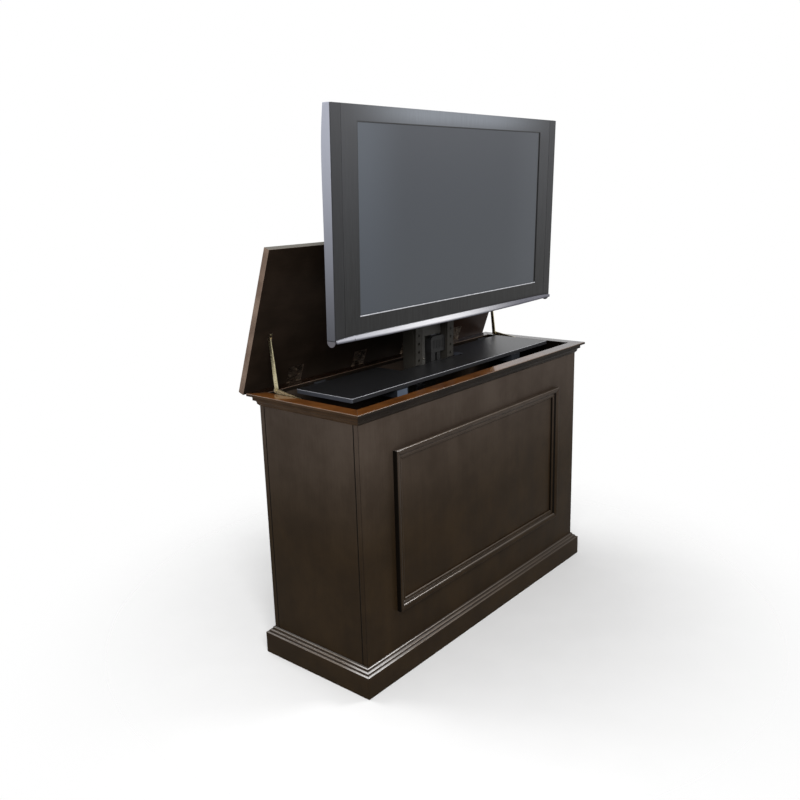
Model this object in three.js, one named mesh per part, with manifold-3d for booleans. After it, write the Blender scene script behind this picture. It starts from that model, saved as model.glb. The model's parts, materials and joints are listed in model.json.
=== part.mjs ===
import * as THREE from 'three';
import { mergeVertices } from 'three/addons/utils/BufferGeometryUtils.js';
import Module from 'manifold-3d';

// A television lift cabinet with its lid open and the television raised.
// Lengths are millimetres: X to the right, Y to the back, Z up from the floor.
// The lift, the television and the stays give their heights from the top edge of the body.
const wasm = await Module();
wasm.setup();

// Values that every piece shares
const gap = 0.3;
const overrun = 5;
const mitreGap = 0.15;
const roundSides = 16;
const smallSides = 10;
const curveSteps = 4;

// The cabinet body and its mouldings
const body = { width: 1215.3, depth: 397, height: 858.8, panel: 18, groove: 1.2 };
const topRail = {
  out: 27.4, round: 2.5, lip: 8, coveDrop: 14, beadOut: 15, beadDrop: 22, neckOut: 6, neckDrop: 33, drop: 39,
  flange: 12,
};
const base = { out: 22.1, flat: 70.4, beadOut: 14, beadTop: 78, neckOut: 6, neckTop: 86, height: 90 };
const panelFrame = {
  side: 140.65, low: 208, below: 143.8, width: 33, proud: 17, innerStep: 3, innerCove: 8, coveTop: 8,
  groove: 12, grooveDepth: 2.5, crownStart: 16, crownRise: 13, crownTop: 23, crownEnd: 31,
};
const outlet = { width: 180, height: 60, low: 110 };

// The lid and its hinges
const lid = { thickness: 21, open: 70, overhang: 5.5 };
const lidPivot = { behind: 6.1, below: 6.8 };
const hinge = {
  innerX: 130, outerX: 430, width: 60, leafThickness: 2, leafLength: 56, leafDrop: 32, barrel: 4.5, pin: 2,
  knuckleShare: 0.4, webHalf: 1.6,
};

// The two folding stays. Their fixed pivot and elbow lie forward of the lid's pivot, and the third
// pivot lies along the lid and under it.
const stay = {
  inset: 9.75, thickness: 3.3, width: 14, pin: 3, slack: 1.2, rivetHead: 5.5, headDepth: 1.2, tip: 4.8,
  fixedForward: 222, fixedHeight: -12.8, elbowForward: 84, elbowHeight: 9.2, lidAlong: 182.663, lidUnder: 4.816,
};
const earPlate = { length: 22, foot: 16, thickness: 2.5 };
const stayBracket = { length: 44, above: 7.5, below: 22.5, thickness: 2.2 };

// The three-stage lift column
const lift = { floorGap: 8, depth: 8, rackFront: 32, running: 0.4 };
const gear = { module: 2.5, teeth: 16, pressure: 20, addendum: 2.2, dedendum: 2.8, backlash: 0.5, z: -16.8 };
const middle = { half: 60, front: 46, back: 72, wall: 2.5, floorGap: 9, high: 371.2 };
const fixed = { wall: 3, wallFront: 50, high: -8.8, footHalf: 100, footFront: 28, footBack: 112, foot: 5 };
const wallTie = { half: 60, flange: 30, thickness: 3, low: -168.8, height: 50 };
const guide = { front: 41, height: 120, arm: 3.7 };
const tube = { inner: 70, width: 34, front: 8, depth: 46, wall: 2, low: -26.8, high: 781.2 };
const crossMember = { height: 40, wall: 2.5 };
const rack = { below: 14, above: 10, stripHigh: -158.8 };
const bumper = { half: 20, low: 311.2, high: 366.2, slot: 4 };
const motor = {
  left: -15.2, right: 58, front: 12, blockLow: -32.8, blockHigh: 9.2, bossLeft: -6.5, bossRight: 15.2,
  bossHigh: 71.2, shaft: 6,
  shaftTip: 14.5, canX: 42, canY: 21.5, can: 9, canHigh: 83.2, seam: 1,
};
const housing = {
  left: -10, right: 68, low: 12.2, high: 94.2, front: 9, back: 31.7, wall: 2.5, corner: 13,
  ribs: 7, rib: 2.2, ribPitch: 8.5, ribProud: 1.2,
};
const mastPlate = {
  front: 28.5, thickness: 2.8, low: 2, clear: 0.6, housingGap: 3, postHalf: 13, postLow: 110,
  postHigh: 220,
};
const controlBox = { x: -140, y: 122, width: 50, depth: 100, height: 40, corner: 5 };

// The equipment shelf on the carriage
const shelf = {
  side: 49.65, front: -118, back: 110, notchHalf: 172, notch: 7.7, thickness: 13, low: -2.8, corner: 8,
};
const bearer = {
  channelInset: 222, channelWidth: 54, height: 25, wall: 2.5, armInset: 102, armWidth: 48, bar: 5.7, barHeight: 20,
  tab: 2.5, tabHigh: 14.2,
};

// The television on its tilted carrier
const screenCase = {
  width: 1156, height: 624, rimDepth: 24, depth: 95, frontY: -99, lowZ: 174.9, tilt: 1.7, skin: 2, wall: 3,
  corner: 4, sideTrim: 3,
};
const screen = { margin: 104, topMargin: 42, lowMargin: 58, lap: 3, thickness: 10 };
const backCover = { slab: 12, rim: 6, bulgeShare: 0.8, wall: 2.5 };
const bottomTrim = { inset: 4, rise: 9, sag: 11, endRise: 5, endDrop: 4, shoulder: 90, proud: 7 };
const sideTrim = { top: 25, bulge: 34, bulgeShare: 0.81, waist: 32, waistShare: 0.4, foot: 31, drop: 16 };
const button = { inset: 78, z: 1, radius: 4.5, proud: 1.6, back: 2.2 };
const tvRail = { outer: 104, width: 35, depth: 6, wall: 1.8, foot: 163.6, high: 606, hole: 5, pitch: 28 };

// Places that follow from the sizes above
const halfWidth = body.width / 2;
const halfDepth = body.depth / 2;
const innerX = halfWidth - body.panel;
const innerY = halfDepth - body.panel;
const panelTop = body.height - topRail.flange - gap;
const lidBottom = gap + lidPivot.below;
const pivotY = halfDepth + topRail.out + lidPivot.behind;
const pivotZ = -lidPivot.below;
const radians = THREE.MathUtils.degToRad;
const openAngle = radians(lid.open);
const floorZ = body.panel + gap - body.height;
const travel = body.height + tube.low - body.panel - lift.floorGap;
const middleLow = body.panel + middle.floorGap + travel / 2 - body.height;
const shelfHalf = innerX - shelf.side;
const trimHalf = screenCase.width / 2 - bottomTrim.inset;
const buttonX = button.inset - screenCase.width / 2;
const pitchRadius = gear.module * gear.teeth / 2;
const toothPitch = Math.PI * gear.module;
const pressureAngle = radians(gear.pressure);
const tubeOuter = tube.inner + tube.width;
const tubeBack = tube.front + tube.depth;

// Materials
function finish(color, roughness, metalness = 0) {
  return () => new THREE.MeshStandardMaterial({ color, roughness, metalness });
}
const espresso = finish(0x3f342b, 0.42);
const rimWood = finish(0x5a3a22, 0.3);
const panelInside = finish(0x3a3029, 0.7);
const castSteel = finish(0x3a3a3d, 0.5, 0.6);
const brightSteel = finish(0x8f9298, 0.35, 0.9);
const brass = finish(0x96895a, 0.35, 0.9);
const nylon = finish(0xd8d5cc, 0.6);
const blackPlastic = finish(0x1c1c1e, 0.5);
const silverPlastic = finish(0x9a9ca6, 0.3, 0.5);
const glassGrey = finish(0x565b61, 0.15);
const darkRubber = finish(0x18181a, 0.8);
const blackBoard = finish(0x1e1e1f, 0.4);
const greyBlue = finish(0x525a68, 0.5, 0.4);

// Small tools for shapes, cuts and joins
function node(name, geometry, material) {
  const mesh = new THREE.Mesh(geometry, material());
  mesh.name = name;
  return mesh;
}

function box(x0, x1, y0, y1, z0, z1) {
  const geometry = new THREE.BoxGeometry(x1 - x0, y1 - y0, z1 - z0);
  return geometry.translate((x0 + x1) / 2, (y0 + y1) / 2, (z0 + z1) / 2);
}

function outline(points) {
  return new THREE.Shape(points.map(([u, v]) => new THREE.Vector2(u, v)));
}

function extrude(shape, depth, curveSegments = curveSteps) {
  return new THREE.ExtrudeGeometry(shape, { depth, bevelEnabled: false, curveSegments });
}

function alongZ(shape, z0, z1) {
  return extrude(shape, z1 - z0).translate(0, 0, z0);
}

function alongX(shape, x0, x1, steps = curveSteps) {
  const turn = new THREE.Matrix4().makeBasis(
    new THREE.Vector3(0, 1, 0), new THREE.Vector3(0, 0, 1), new THREE.Vector3(1, 0, 0));
  return extrude(shape, x1 - x0, steps).applyMatrix4(turn).translate(x0, 0, 0);
}

function alongY(shape, y0, y1, steps = curveSteps) {
  const turn = new THREE.Matrix4().makeBasis(
    new THREE.Vector3(1, 0, 0), new THREE.Vector3(0, 0, 1), new THREE.Vector3(0, -1, 0));
  return extrude(shape, y1 - y0, steps).applyMatrix4(turn).translate(0, y1, 0);
}

function rod(axis, radius, from, to, sides = roundSides) {
  const geometry = new THREE.CylinderGeometry(radius, radius, to - from, sides);
  geometry.translate(0, (from + to) / 2, 0);
  if (axis === 'x') {
    geometry.rotateZ(-Math.PI / 2);
  }
  if (axis === 'z') {
    geometry.rotateX(Math.PI / 2);
  }
  return geometry;
}

function roundedRectangle(x0, x1, y0, y1, radius) {
  const shape = new THREE.Shape();
  shape.moveTo(x0 + radius, y0);
  shape.lineTo(x1 - radius, y0);
  shape.absarc(x1 - radius, y0 + radius, radius, -Math.PI / 2, 0);
  shape.lineTo(x1, y1 - radius);
  shape.absarc(x1 - radius, y1 - radius, radius, 0, Math.PI / 2);
  shape.lineTo(x0 + radius, y1);
  shape.absarc(x0 + radius, y1 - radius, radius, Math.PI / 2, Math.PI);
  shape.lineTo(x0, y0 + radius);
  shape.absarc(x0 + radius, y0 + radius, radius, Math.PI, 3 * Math.PI / 2);
  return shape;
}

function toSolid(geometry) {
  const plain = geometry.clone();
  plain.deleteAttribute('normal');
  plain.deleteAttribute('uv');
  const merged = mergeVertices(plain, 1e-4);
  return new wasm.Manifold(new wasm.Mesh({
    numProp: 3,
    vertProperties: new Float32Array(merged.attributes.position.array),
    triVerts: new Uint32Array(merged.index.array),
  }));
}

function toGeometry(solid) {
  const mesh = solid.getMesh();
  const geometry = new THREE.BufferGeometry();
  geometry.setAttribute('position', new THREE.BufferAttribute(new Float32Array(mesh.vertProperties), 3));
  geometry.setIndex(new THREE.BufferAttribute(new Uint32Array(mesh.triVerts), 1));
  geometry.computeVertexNormals();
  return geometry;
}

function join(...pieces) {
  return toGeometry(pieces.map(toSolid).reduce((whole, piece) => whole.add(piece)));
}

function cut(whole, ...holes) {
  return toGeometry(holes.map(toSolid).reduce((rest, hole) => rest.subtract(hole), toSolid(whole)));
}

// Four mitred lengths round a rectangle. The outline's first axis points out of the rectangle.
function mitredRing(names, shape, ringX, ringY, material) {
  const ring = new THREE.Group();
  names.forEach((name, side) => {
    const half = side % 2 ? ringY : ringX;
    const distance = side % 2 ? ringX : ringY;
    const geometry = extrude(shape, 1);
    const place = geometry.attributes.position;
    for (let i = 0; i < place.count; i += 1) {
      const out = place.getX(i);
      const end = place.getZ(i) > 0 ? -1 : 1;
      place.setXYZ(i, end * (half + out - mitreGap), -(distance + out), place.getY(i));
    }
    geometry.computeVertexNormals();
    const length = node(name, geometry, material);
    length.rotation.z = side * Math.PI / 2;
    ring.add(length);
  });
  return ring;
}

// Cabinet body
function facePanel() {
  const end = halfWidth - body.groove;
  const back = body.panel - body.groove;
  return outline([
    [-halfWidth, 0], [halfWidth, 0], [halfWidth, back], [end, body.panel], [-end, body.panel], [-halfWidth, back],
  ]);
}

function frontPanel() {
  const mesh = node('front_panel', alongZ(facePanel(), 0, panelTop), espresso);
  mesh.position.y = -halfDepth;
  return mesh;
}

function backPanel() {
  const hole = box(-outlet.width / 2, outlet.width / 2, -overrun, body.panel + overrun,
    outlet.low, outlet.low + outlet.height);
  const mesh = node('back_panel', cut(alongZ(facePanel(), 0, panelTop), hole), espresso);
  mesh.rotation.z = Math.PI;
  mesh.position.y = halfDepth;
  return mesh;
}

function sidePanel(name, side) {
  const end = innerY - gap;
  const shape = outline([
    [innerX, -end], [halfWidth - body.groove, -end], [halfWidth, body.groove - end],
    [halfWidth, end - body.groove], [halfWidth - body.groove, end], [innerX, end],
  ]);
  const mesh = node(name, alongZ(shape, 0, panelTop), espresso);
  mesh.rotation.z = side < 0 ? Math.PI : 0;
  return mesh;
}

function floorPanel() {
  const x = innerX - gap;
  const y = innerY - gap;
  return node('floor_panel', box(-x, x, -y, y, 0, body.panel), panelInside);
}

function topMouldings() {
  const top = body.height;
  const shape = new THREE.Shape();
  shape.moveTo(-body.panel, top);
  shape.lineTo(topRail.out - topRail.round, top);
  shape.quadraticCurveTo(topRail.out, top, topRail.out, top - topRail.round);
  shape.lineTo(topRail.out, top - topRail.lip);
  shape.quadraticCurveTo(topRail.beadOut, top - topRail.lip, topRail.beadOut, top - topRail.coveDrop);
  shape.lineTo(topRail.beadOut, top - topRail.beadDrop);
  shape.quadraticCurveTo(topRail.neckOut, top - topRail.beadDrop, topRail.neckOut, top - topRail.neckDrop);
  shape.lineTo(gap, top - topRail.drop);
  shape.lineTo(gap, top - topRail.flange);
  shape.lineTo(-body.panel, top - topRail.flange);
  const names = ['front_top_moulding', 'right_top_moulding', 'back_top_moulding', 'left_top_moulding'];
  return mitredRing(names, shape, halfWidth, halfDepth, rimWood);
}

function baseMouldings() {
  const shape = new THREE.Shape();
  shape.moveTo(gap, 0);
  shape.lineTo(base.out, 0);
  shape.lineTo(base.out, base.flat);
  shape.quadraticCurveTo(base.beadOut, base.flat, base.beadOut, base.beadTop);
  shape.quadraticCurveTo(base.neckOut, base.beadTop, base.neckOut, base.neckTop);
  shape.lineTo(gap, base.height);
  const names = ['front_base_moulding', 'right_base_moulding', 'back_base_moulding', 'left_base_moulding'];
  return mitredRing(names, shape, halfWidth, halfDepth, espresso);
}

function panelMouldings() {
  const f = panelFrame;
  const shape = new THREE.Shape();
  shape.moveTo(0, gap);
  shape.lineTo(0, f.innerStep);
  shape.quadraticCurveTo(0, f.coveTop, f.innerCove, f.coveTop);
  shape.lineTo(f.groove, f.coveTop - f.grooveDepth);
  shape.lineTo(f.crownStart, f.crownRise);
  shape.quadraticCurveTo(f.crownTop, f.proud, f.crownEnd, f.proud);
  shape.lineTo(f.width, f.crownRise);
  shape.lineTo(f.width, gap);
  const names = ['panel_moulding_bottom', 'panel_moulding_right', 'panel_moulding_top', 'panel_moulding_left'];
  const high = body.height - f.below;
  const ring = mitredRing(names, shape, halfWidth - f.side - f.width, (high - f.low) / 2 - f.width, espresso);
  ring.rotation.x = Math.PI / 2;
  ring.position.set(0, -halfDepth, (high + f.low) / 2);
  return ring;
}

// Lift column: fixed stage, drive and middle stage
function fixedColumn() {
  const inner = middle.half + lift.running;
  const outer = inner + fixed.wall;
  const web = middle.back + lift.running;
  const back = web + fixed.wall;
  const shape = outline([
    [-outer, fixed.wallFront], [-inner, fixed.wallFront], [-inner, web], [inner, web], [inner, fixed.wallFront],
    [outer, fixed.wallFront], [outer, back], [-outer, back],
  ]);
  const footTop = floorZ + fixed.foot;
  const foot = box(-fixed.footHalf, fixed.footHalf, fixed.footFront, fixed.footBack, floorZ, footTop);
  const slotHalf = bumper.half + bumper.slot;
  const slotLow = bumper.low - travel / 2 - bumper.slot;
  const slot = box(-slotHalf, slotHalf, web - overrun, back + overrun, slotLow, fixed.high + overrun);
  return node('fixed_column', cut(join(foot, alongZ(shape, footTop - gap, fixed.high)), slot), castSteel);
}

function columnWallTie() {
  const front = middle.back + lift.running + fixed.wall + gap;
  const back = innerY - gap;
  const t = wallTie.thickness;
  const out = wallTie.half + wallTie.flange;
  const shape = outline([
    [-wallTie.half, front], [wallTie.half, front], [wallTie.half, back - t], [out, back - t], [out, back],
    [wallTie.half - t, back], [wallTie.half - t, front + t], [t - wallTie.half, front + t],
    [t - wallTie.half, back], [-out, back], [-out, back - t], [-wallTie.half, back - t],
  ]);
  return node('column_wall_bracket', alongZ(shape, wallTie.low, wallTie.low + wallTie.height), castSteel);
}

// A rack's outline seen from the front. Its teeth point to +x when side is 1.
function rackOutline(side, backX, low, high) {
  const halfPitch = toothPitch / 2;
  const halfTooth = (halfPitch - gear.backlash / 2) / 2;
  const tipHalf = halfTooth - gear.addendum * Math.tan(pressureAngle);
  const rootHalf = halfTooth + gear.dedendum * Math.tan(pressureAngle);
  const pitchX = -side * pitchRadius;
  const tip = pitchX + side * gear.addendum;
  const root = pitchX - side * gear.dedendum;
  const points = [[backX, low], [root, low]];
  const first = Math.ceil((low - gear.z) / toothPitch);
  const last = Math.floor((high - gear.z) / toothPitch) - 1;
  for (let i = first; i <= last; i += 1) {
    const centre = gear.z + (i + 1 / 2) * toothPitch;
    points.push([root, centre - rootHalf], [tip, centre - tipHalf], [tip, centre + tipHalf],
      [root, centre + rootHalf]);
  }
  points.push([root, high], [backX, high]);
  return outline(points);
}

function fixedRack() {
  const outer = middle.half + lift.running + fixed.wall;
  const inner = middle.half + lift.running;
  const back = lift.rackFront + lift.depth;
  const shape = rackOutline(1, -outer, gear.z - travel / 2 - rack.below, gear.z + rack.above);
  const bar = alongY(shape, lift.rackFront, back);
  const strip = box(-outer, -inner, back - motor.seam, fixed.wallFront - gap, middleLow, rack.stripHigh);
  return node('fixed_rack', join(bar, strip), brightSteel);
}

function carriageRack() {
  const shape = rackOutline(-1, tube.inner - gap, tube.low, gear.z + travel / 2 + rack.above);
  return node('carriage_rack', alongY(shape, lift.rackFront, lift.rackFront + lift.depth), brightSteel);
}

function drivePinion() {
  const baseRadius = pitchRadius * Math.cos(pressureAngle);
  const tipRadius = pitchRadius + gear.addendum;
  const rootRadius = pitchRadius - gear.dedendum;
  const toothHalf = (toothPitch / 2 - gear.backlash / 2) / 2 / pitchRadius;
  const involute = angle => Math.tan(angle) - angle;
  const flank = [];
  for (let i = 0; i <= curveSteps; i += 1) {
    const radius = baseRadius + (tipRadius - baseRadius) * i / curveSteps;
    const spread = toothHalf + involute(pressureAngle) - involute(Math.acos(baseRadius / radius));
    flank.push([radius, spread]);
  }
  const points = [];
  const place = (radius, angle) => points.push([radius * Math.cos(angle), radius * Math.sin(angle)]);
  for (let tooth = 0; tooth < gear.teeth; tooth += 1) {
    const centre = 2 * Math.PI * tooth / gear.teeth;
    place(rootRadius, centre - flank[0][1]);
    flank.forEach(([radius, spread]) => place(radius, centre - spread));
    [...flank].reverse().forEach(([radius, spread]) => place(radius, centre + spread));
    place(rootRadius, centre + flank[0][1]);
  }
  const wheel = alongY(outline(points), lift.rackFront, lift.rackFront + lift.depth);
  const shaft = rod('y', motor.shaft, motor.shaftTip, middle.front - gap);
  const mesh = node('drive_pinion', join(wheel, shaft), brightSteel);
  mesh.position.z = gear.z;
  return mesh;
}

function middleColumn() {
  const outer = box(-middle.half, middle.half, middle.front, middle.back, middleLow, middle.high);
  const x = middle.half - middle.wall;
  const inside = box(-x, x, middle.front + middle.wall, middle.back - middle.wall,
    middleLow - overrun, middle.high + overrun);
  return node('middle_column', cut(outer, inside), castSteel);
}

function columnGuide() {
  const outer = tube.inner - gap;
  const inner = middle.half + gap;
  const shape = outline([
    [-outer, guide.front], [outer, guide.front], [outer, middle.front + guide.arm],
    [inner, middle.front + guide.arm], [inner, middle.front - gap], [-inner, middle.front - gap],
    [-inner, middle.front + guide.arm], [-outer, middle.front + guide.arm],
  ]);
  return node('column_guide', alongZ(shape, middle.high - guide.height, middle.high), nylon);
}

// The block on the middle column that the open lid leans on
function lidBumper() {
  const lean = 1 / Math.tan(openAngle);
  const foot = pivotY + (lidBottom - gap) / Math.sin(openAngle);
  const faceY = z => foot - (z - pivotZ) * lean;
  const front = middle.back + gap;
  const shape = outline([
    [front, bumper.low], [faceY(bumper.low), bumper.low], [faceY(bumper.high), bumper.high], [front, bumper.high],
  ]);
  return node('lid_bumper', alongX(shape, -bumper.half, bumper.half), darkRubber);
}

function driveMotor() {
  const block = box(motor.left, motor.right, motor.front, housing.back - gap, motor.blockLow, motor.blockHigh);
  const boss = box(motor.bossLeft, motor.bossRight, motor.front, middle.front - gap,
    motor.blockHigh - motor.seam, motor.bossHigh);
  const can = rod('z', motor.can, motor.blockHigh - motor.seam, motor.canHigh);
  can.translate(motor.canX, motor.canY, 0);
  const bore = rod('y', motor.shaft + gap, motor.shaftTip - gap, middle.front);
  bore.translate(0, 0, gear.z);
  return node('drive_motor', cut(join(block, boss, can), bore), castSteel);
}

function motorHousing() {
  const h = housing;
  const shell = alongY(roundedRectangle(h.left, h.right, h.low, h.high, h.corner), h.front, h.back);
  const floor = box(h.left, h.right, h.front, h.back, h.low, h.low + h.corner);
  const ribs = [];
  const middleX = (h.left + h.right) / 2;
  for (let i = 0; i < h.ribs; i += 1) {
    const x = middleX + (i - (h.ribs - 1) / 2) * h.ribPitch;
    ribs.push(box(x - h.rib / 2, x + h.rib / 2, h.front - h.ribProud, h.front + h.wall,
      h.low + h.corner, h.high - h.corner));
  }
  const inside = box(h.left + h.wall, h.right - h.wall, h.front + h.wall, h.back + overrun,
    h.low - overrun, h.high - h.wall);
  return node('motor_housing', cut(join(shell, floor, ...ribs), inside), blackPlastic);
}

// The plate in front of the drive, cut out round the motor housing and held by a post on the middle column
function mastCoverPlate() {
  const p = mastPlate;
  const half = tube.inner - p.clear;
  const back = p.front + p.thickness;
  const plate = box(-half, half, p.front, back, p.low, middle.high);
  const window = box(motor.left - p.housingGap, half + overrun, p.front - overrun, back + overrun,
    p.low - overrun, housing.high + p.housingGap);
  const post = box(-p.postHalf, p.postHalf, back - gap, middle.front - gap, p.postLow, p.postHigh);
  return node('mast_plate', join(cut(plate, window), post), castSteel);
}

function controlUnit() {
  const b = controlBox;
  const x = b.width / 2;
  const y = b.depth / 2;
  const shape = roundedRectangle(b.x - x, b.x + x, b.y - y, b.y + y, b.corner);
  return node('control_box', alongZ(shape, floorZ, floorZ + b.height), blackPlastic);
}

// Carriage: tubes, cross member, shelf and its bearer frame
function carriageTube(name, side) {
  const outer = box(tube.inner, tubeOuter, tube.front, tubeBack, tube.low, tube.high);
  const inside = box(tube.inner + tube.wall, tubeOuter - tube.wall, tube.front + tube.wall, tubeBack - tube.wall,
    tube.low - overrun, tube.high + overrun);
  const geometry = cut(outer, inside);
  const mesh = node(name, geometry, castSteel);
  if (side < 0) {
    geometry.translate(-tube.inner - tubeOuter, 0, 0);
  }
  return mesh;
}

// The depth of the rails' back at a height, where the tilted carrier leans forward
function carrierBack(z) {
  const tilt = radians(screenCase.tilt);
  const back = screenCase.depth + gap + tvRail.depth;
  return screenCase.frontY + back / Math.cos(tilt) - (z - screenCase.lowZ) * Math.tan(tilt);
}

function upperCrossMember() {
  const low = tube.high - crossMember.height;
  const front = carrierBack(low) + gap;
  const back = tube.front - gap;
  const outer = box(-tubeOuter, tubeOuter, front, back, low, tube.high);
  const inside = box(-tubeOuter - overrun, tubeOuter + overrun, front + crossMember.wall, back + overrun,
    low + crossMember.wall, tube.high - crossMember.wall);
  return node('upper_cross_member', cut(outer, inside), castSteel);
}

function equipmentShelf() {
  const shape = roundedRectangle(-shelfHalf, shelfHalf, shelf.front, shelf.back, shelf.corner);
  const board = alongZ(shape, shelf.low, shelf.low + shelf.thickness);
  const notch = box(-shelf.notchHalf, shelf.notchHalf, shelf.notch, shelf.back + overrun,
    shelf.low - overrun, shelf.low + shelf.thickness + overrun);
  return node('equipment_shelf', cut(board, notch), blackBoard);
}

function shelfBearer() {
  const top = shelf.low - gap;
  const low = top - bearer.height;
  const armX = shelfHalf - bearer.armInset;
  const channelX = shelfHalf - bearer.channelInset;
  const bar = box(-armX, armX, shelf.notch - bearer.bar, shelf.notch, top - bearer.barHeight, top);
  const channels = [];
  const insides = [];
  for (const side of [-1, 1]) {
    const runs = [
      { x: side * channelX, half: bearer.channelWidth / 2, front: shelf.front },
      { x: side * armX, half: bearer.armWidth / 2, front: shelf.notch - bearer.bar },
    ];
    runs.forEach(run => {
      channels.push(box(run.x - run.half, run.x + run.half, run.front, shelf.back, low, top));
      const inner = run.half - bearer.wall;
      insides.push(box(run.x - inner, run.x + inner, run.front - overrun, shelf.back - bearer.tab,
        low - overrun, top - bearer.wall));
    });
    const x = side * armX;
    const half = bearer.armWidth / 2;
    const start = shelf.back + gap;
    channels.push(box(x - half, x + half, start - gap, start + bearer.tab, low, top - gap));
    channels.push(box(x - half, x + half, start, start + bearer.tab, low, bearer.tabHigh));
  }
  return node('shelf_bearer', join(cut(join(...channels), ...insides), bar), greyBlue);
}

// Television pieces, in the tilted carrier's own frame: y = 0 is the front, z = 0 the lower edge
function tvBezel() {
  const s = screenCase;
  const half = s.width / 2 - s.sideTrim - gap;
  const shell = alongY(roundedRectangle(-half, half, 0, s.height, s.corner), 0, s.rimDepth);
  const inside = box(s.wall - half, half - s.wall, s.skin, s.rimDepth + overrun, s.wall, s.height - s.wall);
  const x = s.width / 2 - screen.margin;
  const top = s.height - screen.topMargin;
  const window = box(-x, x, -overrun, s.skin + overrun, screen.lowMargin, top);
  return node('tv_bezel', cut(shell, inside, window), blackPlastic);
}

function tvScreen() {
  const half = screenCase.width / 2 - screen.margin + screen.lap;
  const top = screenCase.height - screen.topMargin + screen.lap;
  const low = screen.lowMargin - screen.lap;
  const front = screenCase.skin + gap;
  return node('tv_screen', box(-half, half, front, front + screen.thickness, low, top), glassGrey);
}

// A box whose back is drawn in to a share of its front
function taperedBox(halfX, halfZ, y0, y1, centreZ, share) {
  const geometry = box(-halfX, halfX, y0, y1, centreZ - halfZ, centreZ + halfZ);
  const place = geometry.attributes.position;
  for (let i = 0; i < place.count; i += 1) {
    if (place.getY(i) > (y0 + y1) / 2) {
      place.setXYZ(i, place.getX(i) * share, place.getY(i), centreZ + (place.getZ(i) - centreZ) * share);
    }
  }
  return geometry;
}

function tvBackCover() {
  const c = backCover;
  const halfX = screenCase.width / 2 - c.rim;
  const halfZ = screenCase.height / 2 - c.rim;
  const centreZ = screenCase.height / 2;
  const front = screenCase.rimDepth + gap;
  const step = front + c.slab;
  const slab = box(-halfX, halfX, front, step, centreZ - halfZ, centreZ + halfZ);
  const bulge = taperedBox(halfX - c.rim, halfZ - c.rim, step - c.wall, screenCase.depth, centreZ, c.bulgeShare);
  const slabInside = box(c.wall - halfX, halfX - c.wall, front - overrun, step - c.wall,
    centreZ - halfZ + c.wall, centreZ + halfZ - c.wall);
  const bulgeInside = taperedBox(halfX - c.rim - 2 * c.wall, halfZ - c.rim - 2 * c.wall, step - 2 * c.wall,
    screenCase.depth - c.wall, centreZ, c.bulgeShare);
  return node('tv_back_cover', cut(join(slab, bulge), slabInside, bulgeInside), blackPlastic);
}

function tvBottomTrim() {
  const t = bottomTrim;
  const shape = new THREE.Shape();
  shape.moveTo(-trimHalf, t.endRise);
  shape.quadraticCurveTo(t.shoulder / 2 - trimHalf, t.rise, t.shoulder - trimHalf, t.rise);
  shape.lineTo(trimHalf - t.shoulder, t.rise);
  shape.quadraticCurveTo(trimHalf - t.shoulder / 2, t.rise, trimHalf, t.endRise);
  shape.lineTo(trimHalf, -t.endDrop);
  shape.quadraticCurveTo(0, -2 * t.sag + t.endDrop, -trimHalf, -t.endDrop);
  const bar = alongY(shape, -t.proud, -gap, roundSides);
  const hole = rod('y', button.radius + gap, -t.proud - overrun, overrun);
  hole.translate(buttonX, 0, button.z);
  return node('tv_bottom_trim', cut(bar, hole), silverPlastic);
}

function tvPowerButton() {
  const cap = rod('y', button.radius, -bottomTrim.proud - button.proud, -button.back);
  const mesh = node('tv_power_button', cap, silverPlastic);
  mesh.position.set(buttonX, 0, button.z);
  return mesh;
}

function tvSideTrim(name, side) {
  const s = screenCase;
  const t = sideTrim;
  const radius = t.foot / 2;
  const shape = new THREE.Shape();
  shape.absarc(radius, radius - t.drop, radius, Math.PI, 2 * Math.PI);
  shape.splineThru([
    new THREE.Vector2(t.waist, t.waistShare * s.height),
    new THREE.Vector2(t.bulge, t.bulgeShare * s.height),
    new THREE.Vector2(t.top, s.height),
  ]);
  shape.lineTo(0, s.height);
  const outer = s.width / 2;
  const inner = outer - s.sideTrim;
  return node(name, alongX(shape, side < 0 ? -outer : inner, side < 0 ? -inner : outer), silverPlastic);
}

function tvMountRail(name, side) {
  const r = tvRail;
  const front = screenCase.depth + gap;
  const inner = r.outer - r.width;
  const outer = box(inner, r.outer, front, front + r.depth, -r.foot, r.high);
  const inside = box(inner + r.wall, r.outer - r.wall, front + r.wall, front + r.depth + overrun,
    -r.foot - overrun, r.high + overrun);
  const cuts = [inside];
  const count = Math.floor((r.foot + r.high) / r.pitch);
  for (let i = 0; i < count; i += 1) {
    const hole = rod('y', r.hole, front - overrun, front + overrun, smallSides);
    hole.translate((inner + r.outer) / 2, 0, (i + 1 / 2) * r.pitch - r.foot);
    cuts.push(hole);
  }
  const geometry = cut(outer, ...cuts);
  if (side < 0) {
    geometry.translate(-inner - r.outer, 0, 0);
  }
  return node(name, geometry, castSteel);
}

function television() {
  const carrier = new THREE.Group();
  carrier.add(
    tvBezel(), tvScreen(), tvBackCover(), tvBottomTrim(), tvPowerButton(),
    tvSideTrim('tv_left_trim', -1), tvSideTrim('tv_right_trim', 1),
    tvMountRail('left_tv_rail', -1), tvMountRail('right_tv_rail', 1));
  carrier.position.set(0, screenCase.frontY, screenCase.lowZ);
  carrier.rotation.x = radians(screenCase.tilt);
  return carrier;
}

// Lid and hinges. Inside the lid's group the pivot is the origin and the lid lies closed.
const hingePlaces = [-hinge.outerX, -hinge.innerX, hinge.innerX, hinge.outerX];
const lidBack = lid.overhang - lidPivot.behind;

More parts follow.
